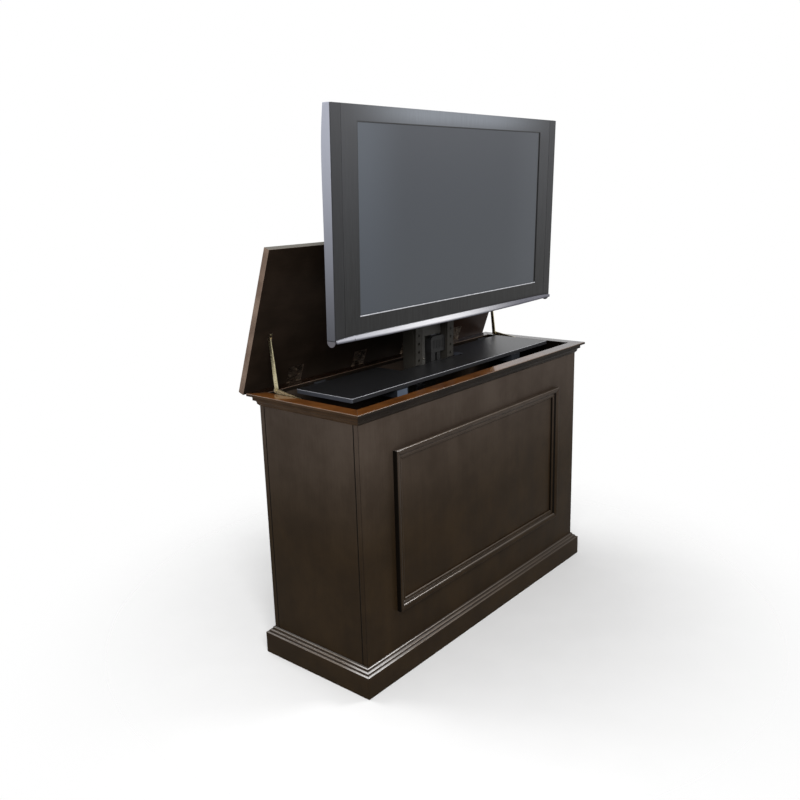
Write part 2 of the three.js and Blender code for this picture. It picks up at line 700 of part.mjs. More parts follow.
function lidPanel() {
  const half = halfWidth + topRail.out;
  const front = -lidPivot.behind - body.depth - 2 * topRail.out;
  const board = box(-half, half, front, lidBack, lidBottom, lidBottom + lid.thickness);
  const pockets = hingePlaces.map(x => box(x - hinge.width / 2 - gap, x + hinge.width / 2 + gap,
    -hinge.leafLength - gap, lidBack + overrun, lidBottom - overrun, lidBottom + hinge.leafThickness + gap));
  return node('lid_panel', cut(board, ...pockets), espresso);
}

function lidLeaf(name, x) {
  const half = hinge.width / 2;
  const knuckle = half * hinge.knuckleShare;
  const top = lidBottom + hinge.leafThickness;
  const plate = box(-half, half, -hinge.leafLength, hinge.webHalf, lidBottom, top);
  const web = box(-knuckle, knuckle, -hinge.webHalf, hinge.webHalf, 0, top);
  const barrel = rod('x', hinge.barrel, -knuckle, knuckle);
  const bore = rod('x', hinge.pin + gap, -half - overrun, half + overrun);
  const mesh = node(name, cut(join(plate, web, barrel), bore), brightSteel);
  mesh.position.x = x;
  return mesh;
}

function bodyLeaf(name, x) {
  const half = hinge.width / 2;
  const knuckle = half * hinge.knuckleShare + gap;
  const face = gap - lidPivot.behind;
  const plate = box(-half, half, face, face + hinge.leafThickness, -hinge.leafDrop, hinge.barrel);
  const clear = box(-knuckle, knuckle, face - overrun, overrun, -hinge.barrel - gap, hinge.barrel + overrun);
  const leftBarrel = rod('x', hinge.barrel, -half, -knuckle);
  const rightBarrel = rod('x', hinge.barrel, knuckle, half);
  const pin = rod('x', hinge.pin, -half, half);
  const leaf = join(cut(plate, clear), leftBarrel, rightBarrel, pin);
  const mesh = node(name, leaf, brightSteel);
  mesh.position.set(x, pivotY, pivotZ);
  return mesh;
}

// The stays' pivots, seen from the side
const fixedPivot = { y: pivotY - stay.fixedForward, z: stay.fixedHeight };
const elbow = { y: pivotY - stay.elbowForward, z: stay.elbowHeight };
const earPivot = {
  y: pivotY - stay.lidAlong * Math.cos(openAngle) - stay.lidUnder * Math.sin(openAngle),
  z: pivotZ + stay.lidAlong * Math.sin(openAngle) - stay.lidUnder * Math.cos(openAngle),
};
const upperInner = innerX - stay.inset;
const lowerInner = upperInner + stay.thickness + gap;
const lowerOuter = lowerInner + stay.thickness;

function lidEar(name, side) {
  const pivot = { y: -stay.lidAlong, z: -stay.lidUnder };
  const outer = upperInner - gap;
  const inner = outer - earPlate.thickness;
  const top = lidBottom - gap;
  const half = earPlate.length / 2;
  const bottom = pivot.z - stay.width / 2;
  const flange = outline([
    [pivot.y - half, top], [pivot.y - stay.width / 2, bottom], [pivot.y + stay.width / 2, bottom],
    [pivot.y + half, top],
  ]);
  const foot = [outer - earPlate.foot, outer, pivot.y - half, pivot.y + half, top - earPlate.thickness, top];
  const pin = rod('x', stay.pin, inner, upperInner + stay.thickness);
  pin.translate(0, pivot.y, pivot.z);
  const geometry = join(alongX(flange, inner, outer), box(...foot), pin);
  return node(name, flipSide(geometry, side), brass);
}

// Turns a right-hand piece into its left-hand twin
function flipSide(geometry, side) {
  if (side > 0) {
    return geometry;
  }
  const place = geometry.attributes.position;
  for (let i = 0; i < place.count; i += 1) {
    place.setX(i, -place.getX(i));
  }
  const order = geometry.index.array;
  for (let i = 0; i < order.length; i += 3) {
    [order[i], order[i + 1]] = [order[i + 1], order[i]];
  }
  geometry.computeVertexNormals();
  return geometry;
}

// A flat link with round ends between two pivots of the side view
function linkShape(from, to, fromRadius) {
  const angle = Math.atan2(to.z - from.z, to.y - from.y);
  const shape = new THREE.Shape();
  shape.absarc(from.y, from.z, fromRadius, angle + Math.PI / 2, angle + 3 * Math.PI / 2);
  shape.absarc(to.y, to.z, stay.width / 2, angle - Math.PI / 2, angle + Math.PI / 2);
  return shape;
}

function addHole(shape, pivot, size) {
  const hole = new THREE.Path();
  hole.absarc(pivot.y, pivot.z, size, 0, 2 * Math.PI, true);
  shape.holes.push(hole);
}

function lowerLink(name, side) {
  const shape = linkShape(fixedPivot, elbow, stay.width / 2);
  addHole(shape, fixedPivot, stay.pin + gap);
  addHole(shape, elbow, stay.pin + stay.slack);
  const bar = alongX(shape, lowerInner, lowerOuter, roundSides);
  return node(name, flipSide(toGeometry(toSolid(bar)), side), brass);
}

function upperLink(name, side) {
  const shape = linkShape(earPivot, elbow, stay.tip);
  const bar = alongX(shape, upperInner, upperInner + stay.thickness);
  const hole = rod('x', stay.pin + gap, upperInner - overrun, upperInner + stay.thickness + overrun);
  hole.translate(0, earPivot.y, earPivot.z);
  const headStart = lowerOuter + gap;
  const rivet = rod('x', stay.pin, upperInner, headStart + stay.headDepth);
  const head = rod('x', stay.rivetHead, headStart, headStart + stay.headDepth);
  rivet.translate(0, elbow.y, elbow.z);
  head.translate(0, elbow.y, elbow.z);
  return node(name, flipSide(join(cut(bar, hole), rivet, head), side), brass);
}

function wallBracket(name, side) {
  const outer = innerX - gap;
  const inner = outer - stayBracket.thickness;
  const half = stayBracket.length / 2;
  const { y, z } = fixedPivot;
  const plate = box(inner, outer, y - half, y + half, z - stayBracket.below, z + stayBracket.above);
  const pin = rod('x', stay.pin, lowerInner, outer);
  pin.translate(0, y, z);
  return node(name, flipSide(join(plate, pin), side), brass);
}

function openLid() {
  const group = new THREE.Group();
  group.add(lidPanel(), lidEar('left_lid_bracket', -1), lidEar('right_lid_bracket', 1));
  hingePlaces.forEach((x, i) => group.add(lidLeaf(`hinge_lid_leaf_${i + 1}`, x)));
  group.position.set(0, pivotY, pivotZ);
  group.rotation.x = -openAngle;
  return group;
}

const cabinet = new THREE.Group();
cabinet.add(
  floorPanel(), frontPanel(), backPanel(), sidePanel('left_side_panel', -1), sidePanel('right_side_panel', 1),
  topMouldings(), baseMouldings(), panelMouldings());

// What is carried at the height of the body's top edge
const raised = new THREE.Group();
raised.position.z = body.height;
raised.add(
  fixedColumn(), columnWallTie(), fixedRack(), controlUnit(), drivePinion(), middleColumn(), columnGuide(),
  lidBumper(), driveMotor(), motorHousing(), mastCoverPlate());
raised.add(
  carriageTube('left_carriage_tube', -1), carriageTube('right_carriage_tube', 1), upperCrossMember(),
  carriageRack(), equipmentShelf(), shelfBearer(), television());
raised.add(openLid());
hingePlaces.forEach((x, i) => raised.add(bodyLeaf(`hinge_body_leaf_${i + 1}`, x)));
for (const [hand, side] of [['left', -1], ['right', 1]]) {
  raised.add(lowerLink(`${hand}_lower_link`, side), upperLink(`${hand}_upper_link`, side));
  raised.add(wallBracket(`${hand}_stay_bracket`, side));
}
cabinet.add(raised);

export default cabinet;
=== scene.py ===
import json
import math

import bmesh
import bpy
from mathutils import Matrix, Vector


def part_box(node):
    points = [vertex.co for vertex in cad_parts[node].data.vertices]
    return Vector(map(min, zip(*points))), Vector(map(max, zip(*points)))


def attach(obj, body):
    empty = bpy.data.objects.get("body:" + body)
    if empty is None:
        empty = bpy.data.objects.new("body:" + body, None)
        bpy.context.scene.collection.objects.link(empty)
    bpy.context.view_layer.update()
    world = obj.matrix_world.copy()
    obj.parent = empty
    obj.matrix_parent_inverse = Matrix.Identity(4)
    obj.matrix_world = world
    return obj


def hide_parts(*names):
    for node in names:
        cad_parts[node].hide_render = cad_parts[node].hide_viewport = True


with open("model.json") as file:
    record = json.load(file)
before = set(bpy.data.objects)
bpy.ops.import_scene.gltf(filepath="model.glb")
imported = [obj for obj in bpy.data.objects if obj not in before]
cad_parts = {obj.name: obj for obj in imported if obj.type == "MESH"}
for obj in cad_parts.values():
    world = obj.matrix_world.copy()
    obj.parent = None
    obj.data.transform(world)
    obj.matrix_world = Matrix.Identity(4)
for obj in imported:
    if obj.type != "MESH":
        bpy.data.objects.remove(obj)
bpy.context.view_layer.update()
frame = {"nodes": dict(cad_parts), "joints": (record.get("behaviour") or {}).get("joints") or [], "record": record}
record = frame["record"]
bodyOf = {node: body for body, nodes in record["behaviour"]["bodies"].items() for node in nodes}
print("frame loaded:", len(frame["nodes"]), "nodes")

# Camera, solved from the cabinet's corners in the photograph
cameraSettings = {
    "place": (-2.19266, -1.68135, 1.43848),
    "azimuth": -49.973,
    "elevation": 14.217,
    "roll": -1.618,
    "lens": 37.553,
    "sensor": 36.0,
}


def makeCamera(settings):
    data = bpy.data.cameras.new("camera")
    data.lens = settings["lens"]
    data.sensor_width = settings["sensor"]
    camera = bpy.data.objects.new("camera", data)
    bpy.context.collection.objects.link(camera)
    azimuth = math.radians(settings["azimuth"])
    elevation = math.radians(settings["elevation"])
    roll = math.radians(settings["roll"])
    flat = math.cos(elevation)
    back = Vector((math.sin(azimuth) * flat, -math.cos(azimuth) * flat, math.sin(elevation)))
    level = Vector((0, 0, 1)).cross(back).normalized()
    upright = back.cross(level)
    right = level * math.cos(roll) + upright * math.sin(roll)
    up = upright * math.cos(roll) - level * math.sin(roll)
    turn = Matrix((right, up, back)).transposed()
    camera.matrix_world = Matrix.Translation(settings["place"]) @ turn.to_4x4()
    bpy.context.scene.camera = camera


makeCamera(cameraSettings)
print("camera placed")


# Shader tools: a wire is a socket that can be used in sums
class Wire:
    def __init__(self, paint, socket):
        self.paint = paint
        self.socket = socket

    def sum(self, operation, first, second=0.0):
        made = self.paint.node("ShaderNodeMath", {"operation": operation}, {0: first, 1: second})
        return Wire(self.paint, made.outputs[0])

    def __add__(self, other):
        return self.sum("ADD", self, other)

    def __sub__(self, other):
        return self.sum("SUBTRACT", self, other)

    def __rsub__(self, other):
        return self.sum("SUBTRACT", other, self)

    def __mul__(self, other):
        return self.sum("MULTIPLY", self, other)

    def __gt__(self, other):
        return self.sum("GREATER_THAN", self, other)

    def __lt__(self, other):
        return self.sum("LESS_THAN", self, other)

    def __abs__(self):
        return self.sum("ABSOLUTE", self)

    __radd__ = __add__
    __rmul__ = __mul__


class Paint:
    def __init__(self, name, holder=None):  # the holder of the nodes is a new material, or a world
        self.holder = holder or bpy.data.materials.new(name)
        self.holder.use_nodes = True
        self.tree = self.holder.node_tree
        self.tree.nodes.clear()

    def node(self, kind, settings=None, sockets=None):
        made = self.tree.nodes.new(kind)
        for key, value in (settings or {}).items():
            setattr(made, key, value)
        for key, value in (sockets or {}).items():
            if isinstance(value, Wire):
                self.tree.links.new(value.socket, made.inputs[key])
            else:
                made.inputs[key].default_value = value
        return made

    def wire(self, kind, settings=None, sockets=None, output=0):
        return Wire(self, self.node(kind, settings, sockets).outputs[output])

    def point(self):
        return self.wire("ShaderNodeTexCoord", output="Object")

    def axis(self, name):
        return self.wire("ShaderNodeSeparateXYZ", {}, {0: self.point()}, name)

    def facing(self, direction):
        normal = self.wire("ShaderNodeTexCoord", output="Normal")
        sockets = {0: normal, 1: direction}
        return self.wire("ShaderNodeVectorMath", {"operation": "DOT_PRODUCT"}, sockets, "Value")

    def turnedTo(self, direction, least=0.9):  # 1 on the faces that look that way
        return self.facing(direction) > least

    def noise(self, scale, detail, rough, stretch=(1, 1, 1)):
        place = self.wire("ShaderNodeMapping", {}, {"Vector": self.point(), "Scale": stretch})
        sockets = {"Vector": place, "Scale": scale, "Detail": detail, "Roughness": rough}
        return self.wire("ShaderNodeTexNoise", {}, sockets, "Fac")

    def spread(self, value, low, high, start=0.0, end=1.0):
        sockets = {"Value": value, "From Min": low, "From Max": high, "To Min": start, "To Max": end}
        return self.wire("ShaderNodeMapRange", {"interpolation_type": "SMOOTHSTEP"}, sockets)

    def vary(self, noise, start, end):  # most of a noise lies between 0.3 and 0.7
        return self.spread(noise, 0.3, 0.7, start, end)

    def mix(self, share, first, second):
        return self.wire("ShaderNodeMix", {"data_type": "RGBA"}, {0: share, 6: first, 7: second}, 2)

    def bump(self, height, strength, distance):
        sockets = {"Height": height, "Strength": strength, "Distance": distance}
        return self.wire("ShaderNodeBump", {}, sockets, "Normal")

    def seenRays(self):  # 1 where the camera, a reflection or a glass looks
        seen = 0.0
        for kind in ("Is Camera Ray", "Is Glossy Ray", "Is Transmission Ray"):
            seen = self.wire("ShaderNodeLightPath", output=kind) + seen
        return seen

    def finish(self, **sockets):
        named = {key.replace("_", " "): value for key, value in sockets.items()}
        surface = self.wire("ShaderNodeBsdfPrincipled", {}, named, "BSDF")
        self.node("ShaderNodeOutputMaterial", {}, {"Surface": surface})
        return self.holder


def rgb(red, green, blue):  # a colour as a picture editor shows it
    shares = [value / 255 for value in (red, green, blue)]
    linear = [share / 12.92 if share <= 0.04045 else ((share + 0.055) / 1.055) ** 2.4 for share in shares]
    return (*linear, 1)


# Stained veneer and solid wood under lacquer. The grain runs along one axis.
grainScales = {"x": (0.07, 1, 1), "y": (1, 0.07, 1), "z": (1, 1, 0.07)}
woodSettings = {
    "figure": 14.0, "pores": 260.0, "cloud": 9.0, "toneRange": (0.42, 0.78),
    "lowTones": (rgb(37, 28, 18), rgb(46, 35, 22)), "paintedLightTones": (rgb(58, 49, 42), rgb(70, 61, 54)),
    "heights": (0.38, 0.86),  # from the low tones to the high ones, which are painted light on the upper part
    "seam": rgb(14, 11, 8), "innerX": 0.5, "rough": (0.34, 0.44), "specular": 0.025, "polish": 0.03,
    "coatRough": 0.06, "bump": 0.12, "poreDepth": 0.0002,
}
highlightLineSettings = {  # painted highlights: light lines along the upper edges of the mouldings, brightest at the near corner
    "heights": (0.0704, 0.078, 0.086, 0.225, 0.233, 0.241, 0.7137), "half": 0.0011,
    "farPaintedLight": rgb(112, 100, 89), "nearHighlight": rgb(206, 202, 200), "nearX": (-0.62, -0.38), "nearY": (-0.22, -0.1),
    "fadeX": (0.5, -0.6, 0.25, 1.0), "fadeY": (0.4, -0.2, 0.3, 1.0), "coat": 0.7,
    "glint": 0.3, "glintFrom": (0.3, 0.45), "glintTo": (0.8, 0.92),
}
# Rims: a painted highlight on the rounded upper edge, a painted reflection on the tops towards the right, a
# painted reflection on the right rim's top, and painted shade on the back rim's top under the lid
rimSettings = {
    "top": (rgb(80, 45, 19), rgb(130, 81, 38)), "shadedBackTop": (rgb(26, 17, 11), rgb(46, 29, 18)),
    "reflectingRightTop": (rgb(52, 43, 36), rgb(76, 64, 54)), "frontSide": (rgb(24, 19, 15), rgb(38, 32, 26)),
    "endSide": (rgb(44, 31, 20), rgb(66, 49, 33)), "edge": rgb(116, 96, 82), "edgeFrom": 0.25,
    "farPaintedLight": rgb(76, 76, 80), "reflectionX": (0.1, 0.6), "reflectionShare": 0.8,
    "rough": (0.3, 0.4), "specular": 0.02, "topCoat": 0.6, "edgeCoat": 0.35, "polish": 0.05,
    "coatRough": 0.08, "bump": 0.1,
}


def woodGrain(name, grain, settings=woodSettings):
    paint = Paint(name)
    stretch = grainScales[grain]
    figure = paint.noise(settings["figure"], 5.0, 0.6, stretch)
    pores = paint.noise(settings["pores"], 2.0, 0.6, stretch)
    cloud = paint.noise(settings["cloud"], 3.0, 0.55)
    tone = paint.spread(figure * 0.35 + pores * 0.2 + cloud * 0.6, *settings["toneRange"])
    return paint, tone, pores


def flatFaces(paint, least=0.985):  # 1 on the flat faces, 0 on the rounded and slanting ones
    flat = 0.0
    for direction in ((1, 0, 0), (0, 1, 0), (0, 0, 1)):
        flat = (abs(paint.facing(direction)) > least) + flat
    return flat


def innerFaces(paint, settings=woodSettings):  # the right wall's inner side, in the box's own shadow
    return paint.turnedTo((-1, 0, 0)) * (paint.axis("X") > settings["innerX"])


def espressoWithPaintedTopLight(paint, tone, settings=woodSettings):  # painted light: lighter towards the top, where more light fell
    high = paint.spread(paint.axis("Z"), *settings["heights"])
    return paint.mix(high, paint.mix(tone, *settings["lowTones"]), paint.mix(tone, *settings["paintedLightTones"]))


def finishWood(paint, pores, colour, coat, settings=woodSettings):
    return paint.finish(
        Base_Color=colour, Roughness=paint.vary(pores, *settings["rough"]),
        Specular_IOR_Level=settings["specular"], Coat_Weight=coat, Coat_Roughness=settings["coatRough"],
        Normal=paint.bump(pores, settings["bump"], woodSettings["poreDepth"]))


def panelWood(settings=woodSettings):  # its grooves and corners are darker
    paint, tone, pores = woodGrain("espresso_panel", "z")
    flat = flatFaces(paint)
    colour = paint.mix(flat, settings["seam"], espressoWithPaintedTopLight(paint, tone))
    colour = paint.mix(innerFaces(paint), colour, settings["seam"])
    return finishWood(paint, pores, colour, (1 - flat) * settings["polish"])


def stileWood(settings=woodSettings):  # the upright mouldings, with painted shade on their sides
    paint, tone, pores = woodGrain("espresso_moulding_z", "z")
    # painted shade: the dark seam colour on the faces turned to either side
    sides = abs(paint.facing((1, 0, 0))) > 0.8
    colour = paint.mix(sides, espressoWithPaintedTopLight(paint, tone), settings["seam"])
    return finishWood(paint, pores, colour, (1 - flatFaces(paint)) * settings["polish"])


def paintedHighlightLines(paint, settings=highlightLineSettings):
    lines = 0.0
    for height in settings["heights"]:
        lines = (abs(paint.axis("Z") - height) < settings["half"]) + lines
    return lines


def mouldingWood(name, grain, settings=highlightLineSettings):
    paint, tone, pores = woodGrain(name, grain)
    rounded = 1 - flatFaces(paint)
    up = paint.facing((0, 0, 1))
    glint = paint.spread(up, *settings["glintFrom"])  # on faces turned half upwards
    glint = (1 - paint.spread(up, *settings["glintTo"])) * glint
    fade = paint.spread(paint.axis("X"), *settings["fadeX"])
    fade = paint.spread(paint.axis("Y"), *settings["fadeY"]) * fade
    # painted highlight: light lines on the rounded edges at the listed heights, fading away from the near corner
    highlightLine = paintedHighlightLines(paint) * rounded * fade
    nearHighlight = 1 - paint.spread(paint.axis("X"), *settings["nearX"])
    nearHighlight = (1 - paint.spread(paint.axis("Y"), *settings["nearY"])) * nearHighlight
    colour = paint.mix(highlightLine, espressoWithPaintedTopLight(paint, tone), paint.mix(nearHighlight, settings["farPaintedLight"], settings["nearHighlight"]))
    coat = glint * settings["glint"] + highlightLine * settings["coat"] + rounded * woodSettings["polish"]
    return finishWood(paint, pores, colour, coat)


def rimWood(name, grain, top, side, settings=rimSettings):
    paint, tone, pores = woodGrain(name, grain)
    flat = paint.turnedTo((0, 0, 1))
    upper = paint.turnedTo((0, 0, 1), settings["edgeFrom"]) * (1 - flat)  # painted highlight on the bead and the rounded edge
    sideTone = paint.mix(innerFaces(paint), paint.mix(tone, *settings[side]), woodSettings["seam"])
    # painted reflection on the tops towards the right end
    farPaintedLight = paint.spread(paint.axis("X"), *settings["reflectionX"]) * settings["reflectionShare"]
    topTone = paint.mix(farPaintedLight, paint.mix(tone, *settings[top]), settings["farPaintedLight"])
    colour = paint.mix(upper, paint.mix(flat, sideTone, topTone), settings["edge"])
    coat = flat * settings["topCoat"] + upper * settings["edgeCoat"] + settings["polish"]
    return finishWood(paint, pores, colour, coat, settings)


lidSettings = {
    "open": math.radians(70), "pivot": (0, 0.232, 0.852), "reach": 0.0035, "footBelow": 0.87,
    "edgeTones": (rgb(92, 76, 66), rgb(134, 116, 103)), "freeEdgeHighlight": rgb(128, 124, 116),
    "outerTones": (rgb(37, 28, 19), rgb(47, 37, 26)), "underTones": (rgb(26, 20, 15), rgb(37, 29, 23)),
    "underFar": rgb(42, 27, 20), "reflectionX": (0.1, 0.4), "reflectionShare": 0.7,
    "rough": (0.34, 0.44), "specular": 0.03, "bump": 0.1,
}
lidAlong = Vector((0, math.cos(lidSettings["open"]), -math.sin(lidSettings["open"])))  # free edge to foot
lidOut = Vector((0, math.sin(lidSettings["open"]), math.cos(lidSettings["open"])))


def lidWood(settings):
    paint, tone, pores = woodGrain("lid_wood", "x")
    colour = paint.mix(tone, *settings["edgeTones"])
    # painted highlight on the free edge
    colour = paint.mix(paint.turnedTo(-lidAlong), colour, settings["freeEdgeHighlight"])
    colour = paint.mix(paint.turnedTo(lidOut), colour, paint.mix(tone, *settings["outerTones"]))
    # painted shade on the underside, with a painted reflection towards its right
    farPaintedLight = paint.spread(paint.axis("X"), *settings["reflectionX"]) * settings["reflectionShare"]
    underTone = paint.mix(farPaintedLight, paint.mix(tone, *settings["underTones"]), settings["underFar"])
    colour = paint.mix(paint.turnedTo(-lidOut), colour, underTone)
    return paint.finish(
        Base_Color=colour, Roughness=paint.vary(pores, *settings["rough"]),
        Specular_IOR_Level=settings["specular"],
        Normal=paint.bump(pores, settings["bump"], woodSettings["poreDepth"]))


boardSettings = {"tones": (rgb(26, 20, 16), rgb(44, 35, 28)), "rough": 0.6, "specular": 0.1, "bump": 0.1}


def innerBoard(settings):
    paint, tone, pores = woodGrain("inner_board", "x")
    return paint.finish(
        Base_Color=paint.mix(tone, *settings["tones"]), Roughness=settings["rough"],
        Specular_IOR_Level=settings["specular"],
        Normal=paint.bump(pores, settings["bump"], woodSettings["poreDepth"]))


# Laminate, metals and plastics
toneSpread = (0.35, 0.65)  # the part of a noise that goes from the darkest tone to the lightest
brushSettings = {"streaks": 900.0, "cloud": 30.0, "sum": (0.7, 1.3), "bump": 0.08, "depth": 0.00015}


def speckledPaint(name, tones, grain, rough, bump, depth, **sockets):
    paint = Paint(name)
    speckle = paint.noise(grain, 2.0, 0.6)
    cloud = paint.noise(9.0, 3.0, 0.5)
    tone = paint.spread(speckle * 0.5 + cloud * 0.5, *toneSpread)
    return paint.finish(
        Base_Color=paint.mix(tone, *tones), Roughness=paint.vary(cloud, *rough),
        Normal=paint.bump(speckle, bump, depth), **sockets)


def brushedPaint(name, tones, grain, rough, metallic, settings=brushSettings):
    paint = Paint(name)
    streak = paint.noise(settings["streaks"], 2.0, 0.6, grainScales[grain])
    cloud = paint.noise(settings["cloud"], 3.0, 0.6)
    tone = paint.spread(streak * 0.5 + cloud * 0.5, *toneSpread)
    return paint.finish(
        Base_Color=paint.mix(tone, *tones), Roughness=paint.spread(streak + cloud, *settings["sum"], *rough),
        Metallic=metallic, Normal=paint.bump(streak, settings["bump"], settings["depth"]))


shelfSettings = {
    "grain": 900.0, "top": (rgb(22, 22, 23), rgb(31, 31, 33)), "topReflection": rgb(31, 34, 42),
    "reflectionX": (0.0, 0.45), "reflectionShare": 0.7, "frontEdge": rgb(33, 33, 36), "litLeftEdge": rgb(62, 64, 71),
    "highlightLine": rgb(200, 202, 208), "lineReach": 0.004, "lineFrom": 0.3, "topFrom": 0.97,
    "rough": (0.33, 0.42), "specular": 0.5, "bump": 0.15, "depth": 0.00015,
}


def shelfLaminate(settings):  # dark top with a painted reflection towards the right, a greyer edge band painted lighter on the left end, and a thin painted highlight where they meet
    paint = Paint("shelf_laminate")
    fine = paint.noise(settings["grain"], 2.0, 0.6)
    upward = (0, 0, 1)
    top = paint.mix(paint.spread(fine, *toneSpread), *settings["top"])
    # painted reflection on the top towards the right
    farPaintedLight = paint.spread(paint.axis("X"), *settings["reflectionX"]) * settings["reflectionShare"]
    top = paint.mix(farPaintedLight, top, settings["topReflection"])
    # painted light: the left end lighter than the front edge
    side = paint.mix(paint.turnedTo((-1, 0, 0), 0.5), settings["frontEdge"], settings["litLeftEdge"])
    level = paint.turnedTo(upward, settings["topFrom"])
    colour = paint.mix(level, side, top)
    low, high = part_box("equipment_shelf")
    inside = paint.axis("X") > low.x + settings["lineReach"]
    inside = (paint.axis("Y") > low.y + settings["lineReach"]) * inside
    # painted highlight: a thin light line on the slanted faces along the front and left edges
    highlightLine = paint.turnedTo(upward, settings["lineFrom"]) * (1 - level) * (1 - inside)
    return paint.finish(
        Base_Color=paint.mix(highlightLine, colour, settings["highlightLine"]), Roughness=paint.vary(fine, *settings["rough"]),
        Specular_IOR_Level=settings["specular"],
        Normal=paint.bump(fine, settings["bump"], settings["depth"]))


def powderCoat():
    return speckledPaint(
        "powder_coat", tones=(rgb(34, 32, 28), rgb(48, 46, 42)), grain=1400.0, rough=(0.42, 0.55),
        bump=0.3, depth=0.00015, Specular_IOR_Level=0.15)


def platePaint():
    return speckledPaint(
        "mast_plate_paint", tones=(rgb(68, 67, 64), rgb(84, 83, 80)), grain=1400.0, rough=(0.42, 0.55),
        bump=0.3, depth=0.00015, Specular_IOR_Level=0.15)


def bluePaint():
    return speckledPaint(
        "grey_blue_paint", tones=(rgb(92, 102, 118), rgb(112, 122, 138)), grain=1100.0, rough=(0.35, 0.5),
        bump=0.2, depth=0.00012, Metallic=0.2)


def channelPaint():
    return speckledPaint(
        "channel_paint", tones=(rgb(26, 28, 32), rgb(36, 39, 44)), grain=1100.0, rough=(0.4, 0.55),
        bump=0.2, depth=0.00012, Specular_IOR_Level=0.2)


def blackPlastic():
    return speckledPaint(
        "black_plastic", tones=(rgb(18, 18, 18), rgb(30, 30, 30)), grain=1500.0, rough=(0.42, 0.55),
        bump=0.4, depth=0.0002, Specular_IOR_Level=0.25)


def rubber():
    return speckledPaint(
        "rubber", tones=(rgb(16, 16, 17), rgb(28, 28, 29)), grain=700.0, rough=(0.75, 0.9), bump=0.4,
        depth=0.0003, Specular_IOR_Level=0.2)


def whiteNylon():
    return speckledPaint(
        "white_nylon", tones=(rgb(206, 203, 194), rgb(226, 223, 214)), grain=500.0, rough=(0.45, 0.6),
        bump=0.15, depth=0.0002)


def zincSteel():
    return brushedPaint(
        "zinc_steel", tones=(rgb(120, 124, 130), rgb(172, 174, 180)), grain="x", rough=(0.28, 0.42),
        metallic=1.0)


def bronzeSteel():
    return brushedPaint(
        "bronze_steel", tones=(rgb(70, 58, 49), rgb(126, 112, 97)), grain="x", rough=(0.22, 0.36),
        metallic=0.9)


def brassPlate():
    return brushedPaint(
        "brass_plate", tones=(rgb(154, 144, 110), rgb(206, 197, 164)), grain="y", rough=(0.2, 0.34),
        metallic=1.0)


# painted highlight: brighter than the lid leaves' bronze, standing in for the knuckles' glints
def glintKnuckleSteel():
    return brushedPaint(
        "knuckle_steel_glint", tones=(rgb(150, 142, 130), rgb(228, 222, 210)), grain="x", rough=(0.14, 0.24),
        metallic=1.0)


def screwSteel():
    return brushedPaint(
        "screw_steel", tones=(rgb(150, 146, 138), rgb(196, 192, 184)), grain="x", rough=(0.18, 0.3),
        metallic=1.0)


# the bright metal of the painted highlight strip under the screen
def highlightStripMetal():
    return brushedPaint(
        "highlight_strip_metal", tones=(rgb(168, 169, 174), rgb(204, 205, 210)), grain="x", rough=(0.2, 0.3),
        metallic=0.3)


print("paints ready")


# Mesh tools, with their angles in degrees
meshSettings = {"merge": 1e-6, "flatAngle": 0.4, "roundAngle": 30, "smoothAngle": 35, "flatWeight": 100}


def deselectAll():
    if bpy.context.object and bpy.context.object.mode != "OBJECT":
        bpy.ops.object.mode_set(mode="OBJECT")
    bpy.ops.object.select_all(action="DESELECT")


def activate(piece):
    deselectAll()
    piece.select_set(True)
    bpy.context.view_layer.objects.active = piece


def addBox(name, middle, sizes):
    deselectAll()
    bpy.ops.mesh.primitive_cube_add(size=1, location=middle, scale=sizes)
    bpy.ops.object.transform_apply(location=True, rotation=False, scale=False)
    bpy.context.object.name = name
    return bpy.context.object


def addDisc(name, sides, height):  # radius 1, standing on the ground plane
    deselectAll()
    bpy.ops.mesh.primitive_cylinder_add(vertices=sides, radius=1, depth=height, location=(0, 0, height / 2))
    bpy.ops.object.transform_apply(location=True, rotation=False, scale=False)
    bpy.context.object.name = name
    return bpy.context.object


def pickFaces(piece, test):  # selects the faces that pass a test on centre and normal, and stays in edit mode
    activate(piece)
    bpy.ops.object.mode_set(mode="EDIT")
    bpy.ops.mesh.select_mode(type="FACE")
    bpy.ops.mesh.select_all(action="DESELECT")
    mesh = bmesh.from_edit_mesh(piece.data)
    for face in mesh.faces:
        face.select = test(face.calc_center_median(), face.normal)
    mesh.select_flush_mode()
    bmesh.update_edit_mesh(piece.data)


def roundEdges(piece, width, segments=2):
    activate(piece)
    modifier = piece.modifiers.new("round", "BEVEL")
    modifier.width = width
    modifier.segments = segments
    modifier.limit_method = "ANGLE"
    modifier.angle_limit = math.radians(meshSettings["roundAngle"])
    bpy.ops.object.modifier_apply(modifier=modifier.name)


def smooth(piece, angle=meshSettings["smoothAngle"]):  # flat faces keep their normals, rounded edges blend
    activate(piece)
    bpy.ops.object.shade_smooth_by_angle(angle=math.radians(angle))
    modifier = piece.modifiers.new("flat faces first", "WEIGHTED_NORMAL")
    modifier.weight = meshSettings["flatWeight"]
    modifier.keep_sharp = True
    bpy.ops.object.modifier_apply(modifier=modifier.name)


def cutAway(piece, cutter):
    activate(piece)
    modifier = piece.modifiers.new("cut", "BOOLEAN")
    modifier.operation = "DIFFERENCE"
    modifier.object = cutter
    bpy.ops.object.modifier_apply(modifier=modifier.name)
    bpy.data.objects.remove(cutter)


def joinPieces(pieces):  # into the first one
    deselectAll()
    for piece in pieces:
        piece.select_set(True)
    bpy.context.view_layer.objects.active = pieces[0]
    bpy.ops.object.join()
    return pieces[0]


def dress(piece, material, carrier, *nodes):  # the body is that of the node that carries the piece
    piece.data.materials.clear()
    piece.data.materials.append(material)
    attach(piece, bodyOf[carrier])
    if nodes:
        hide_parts(*nodes)
    return piece


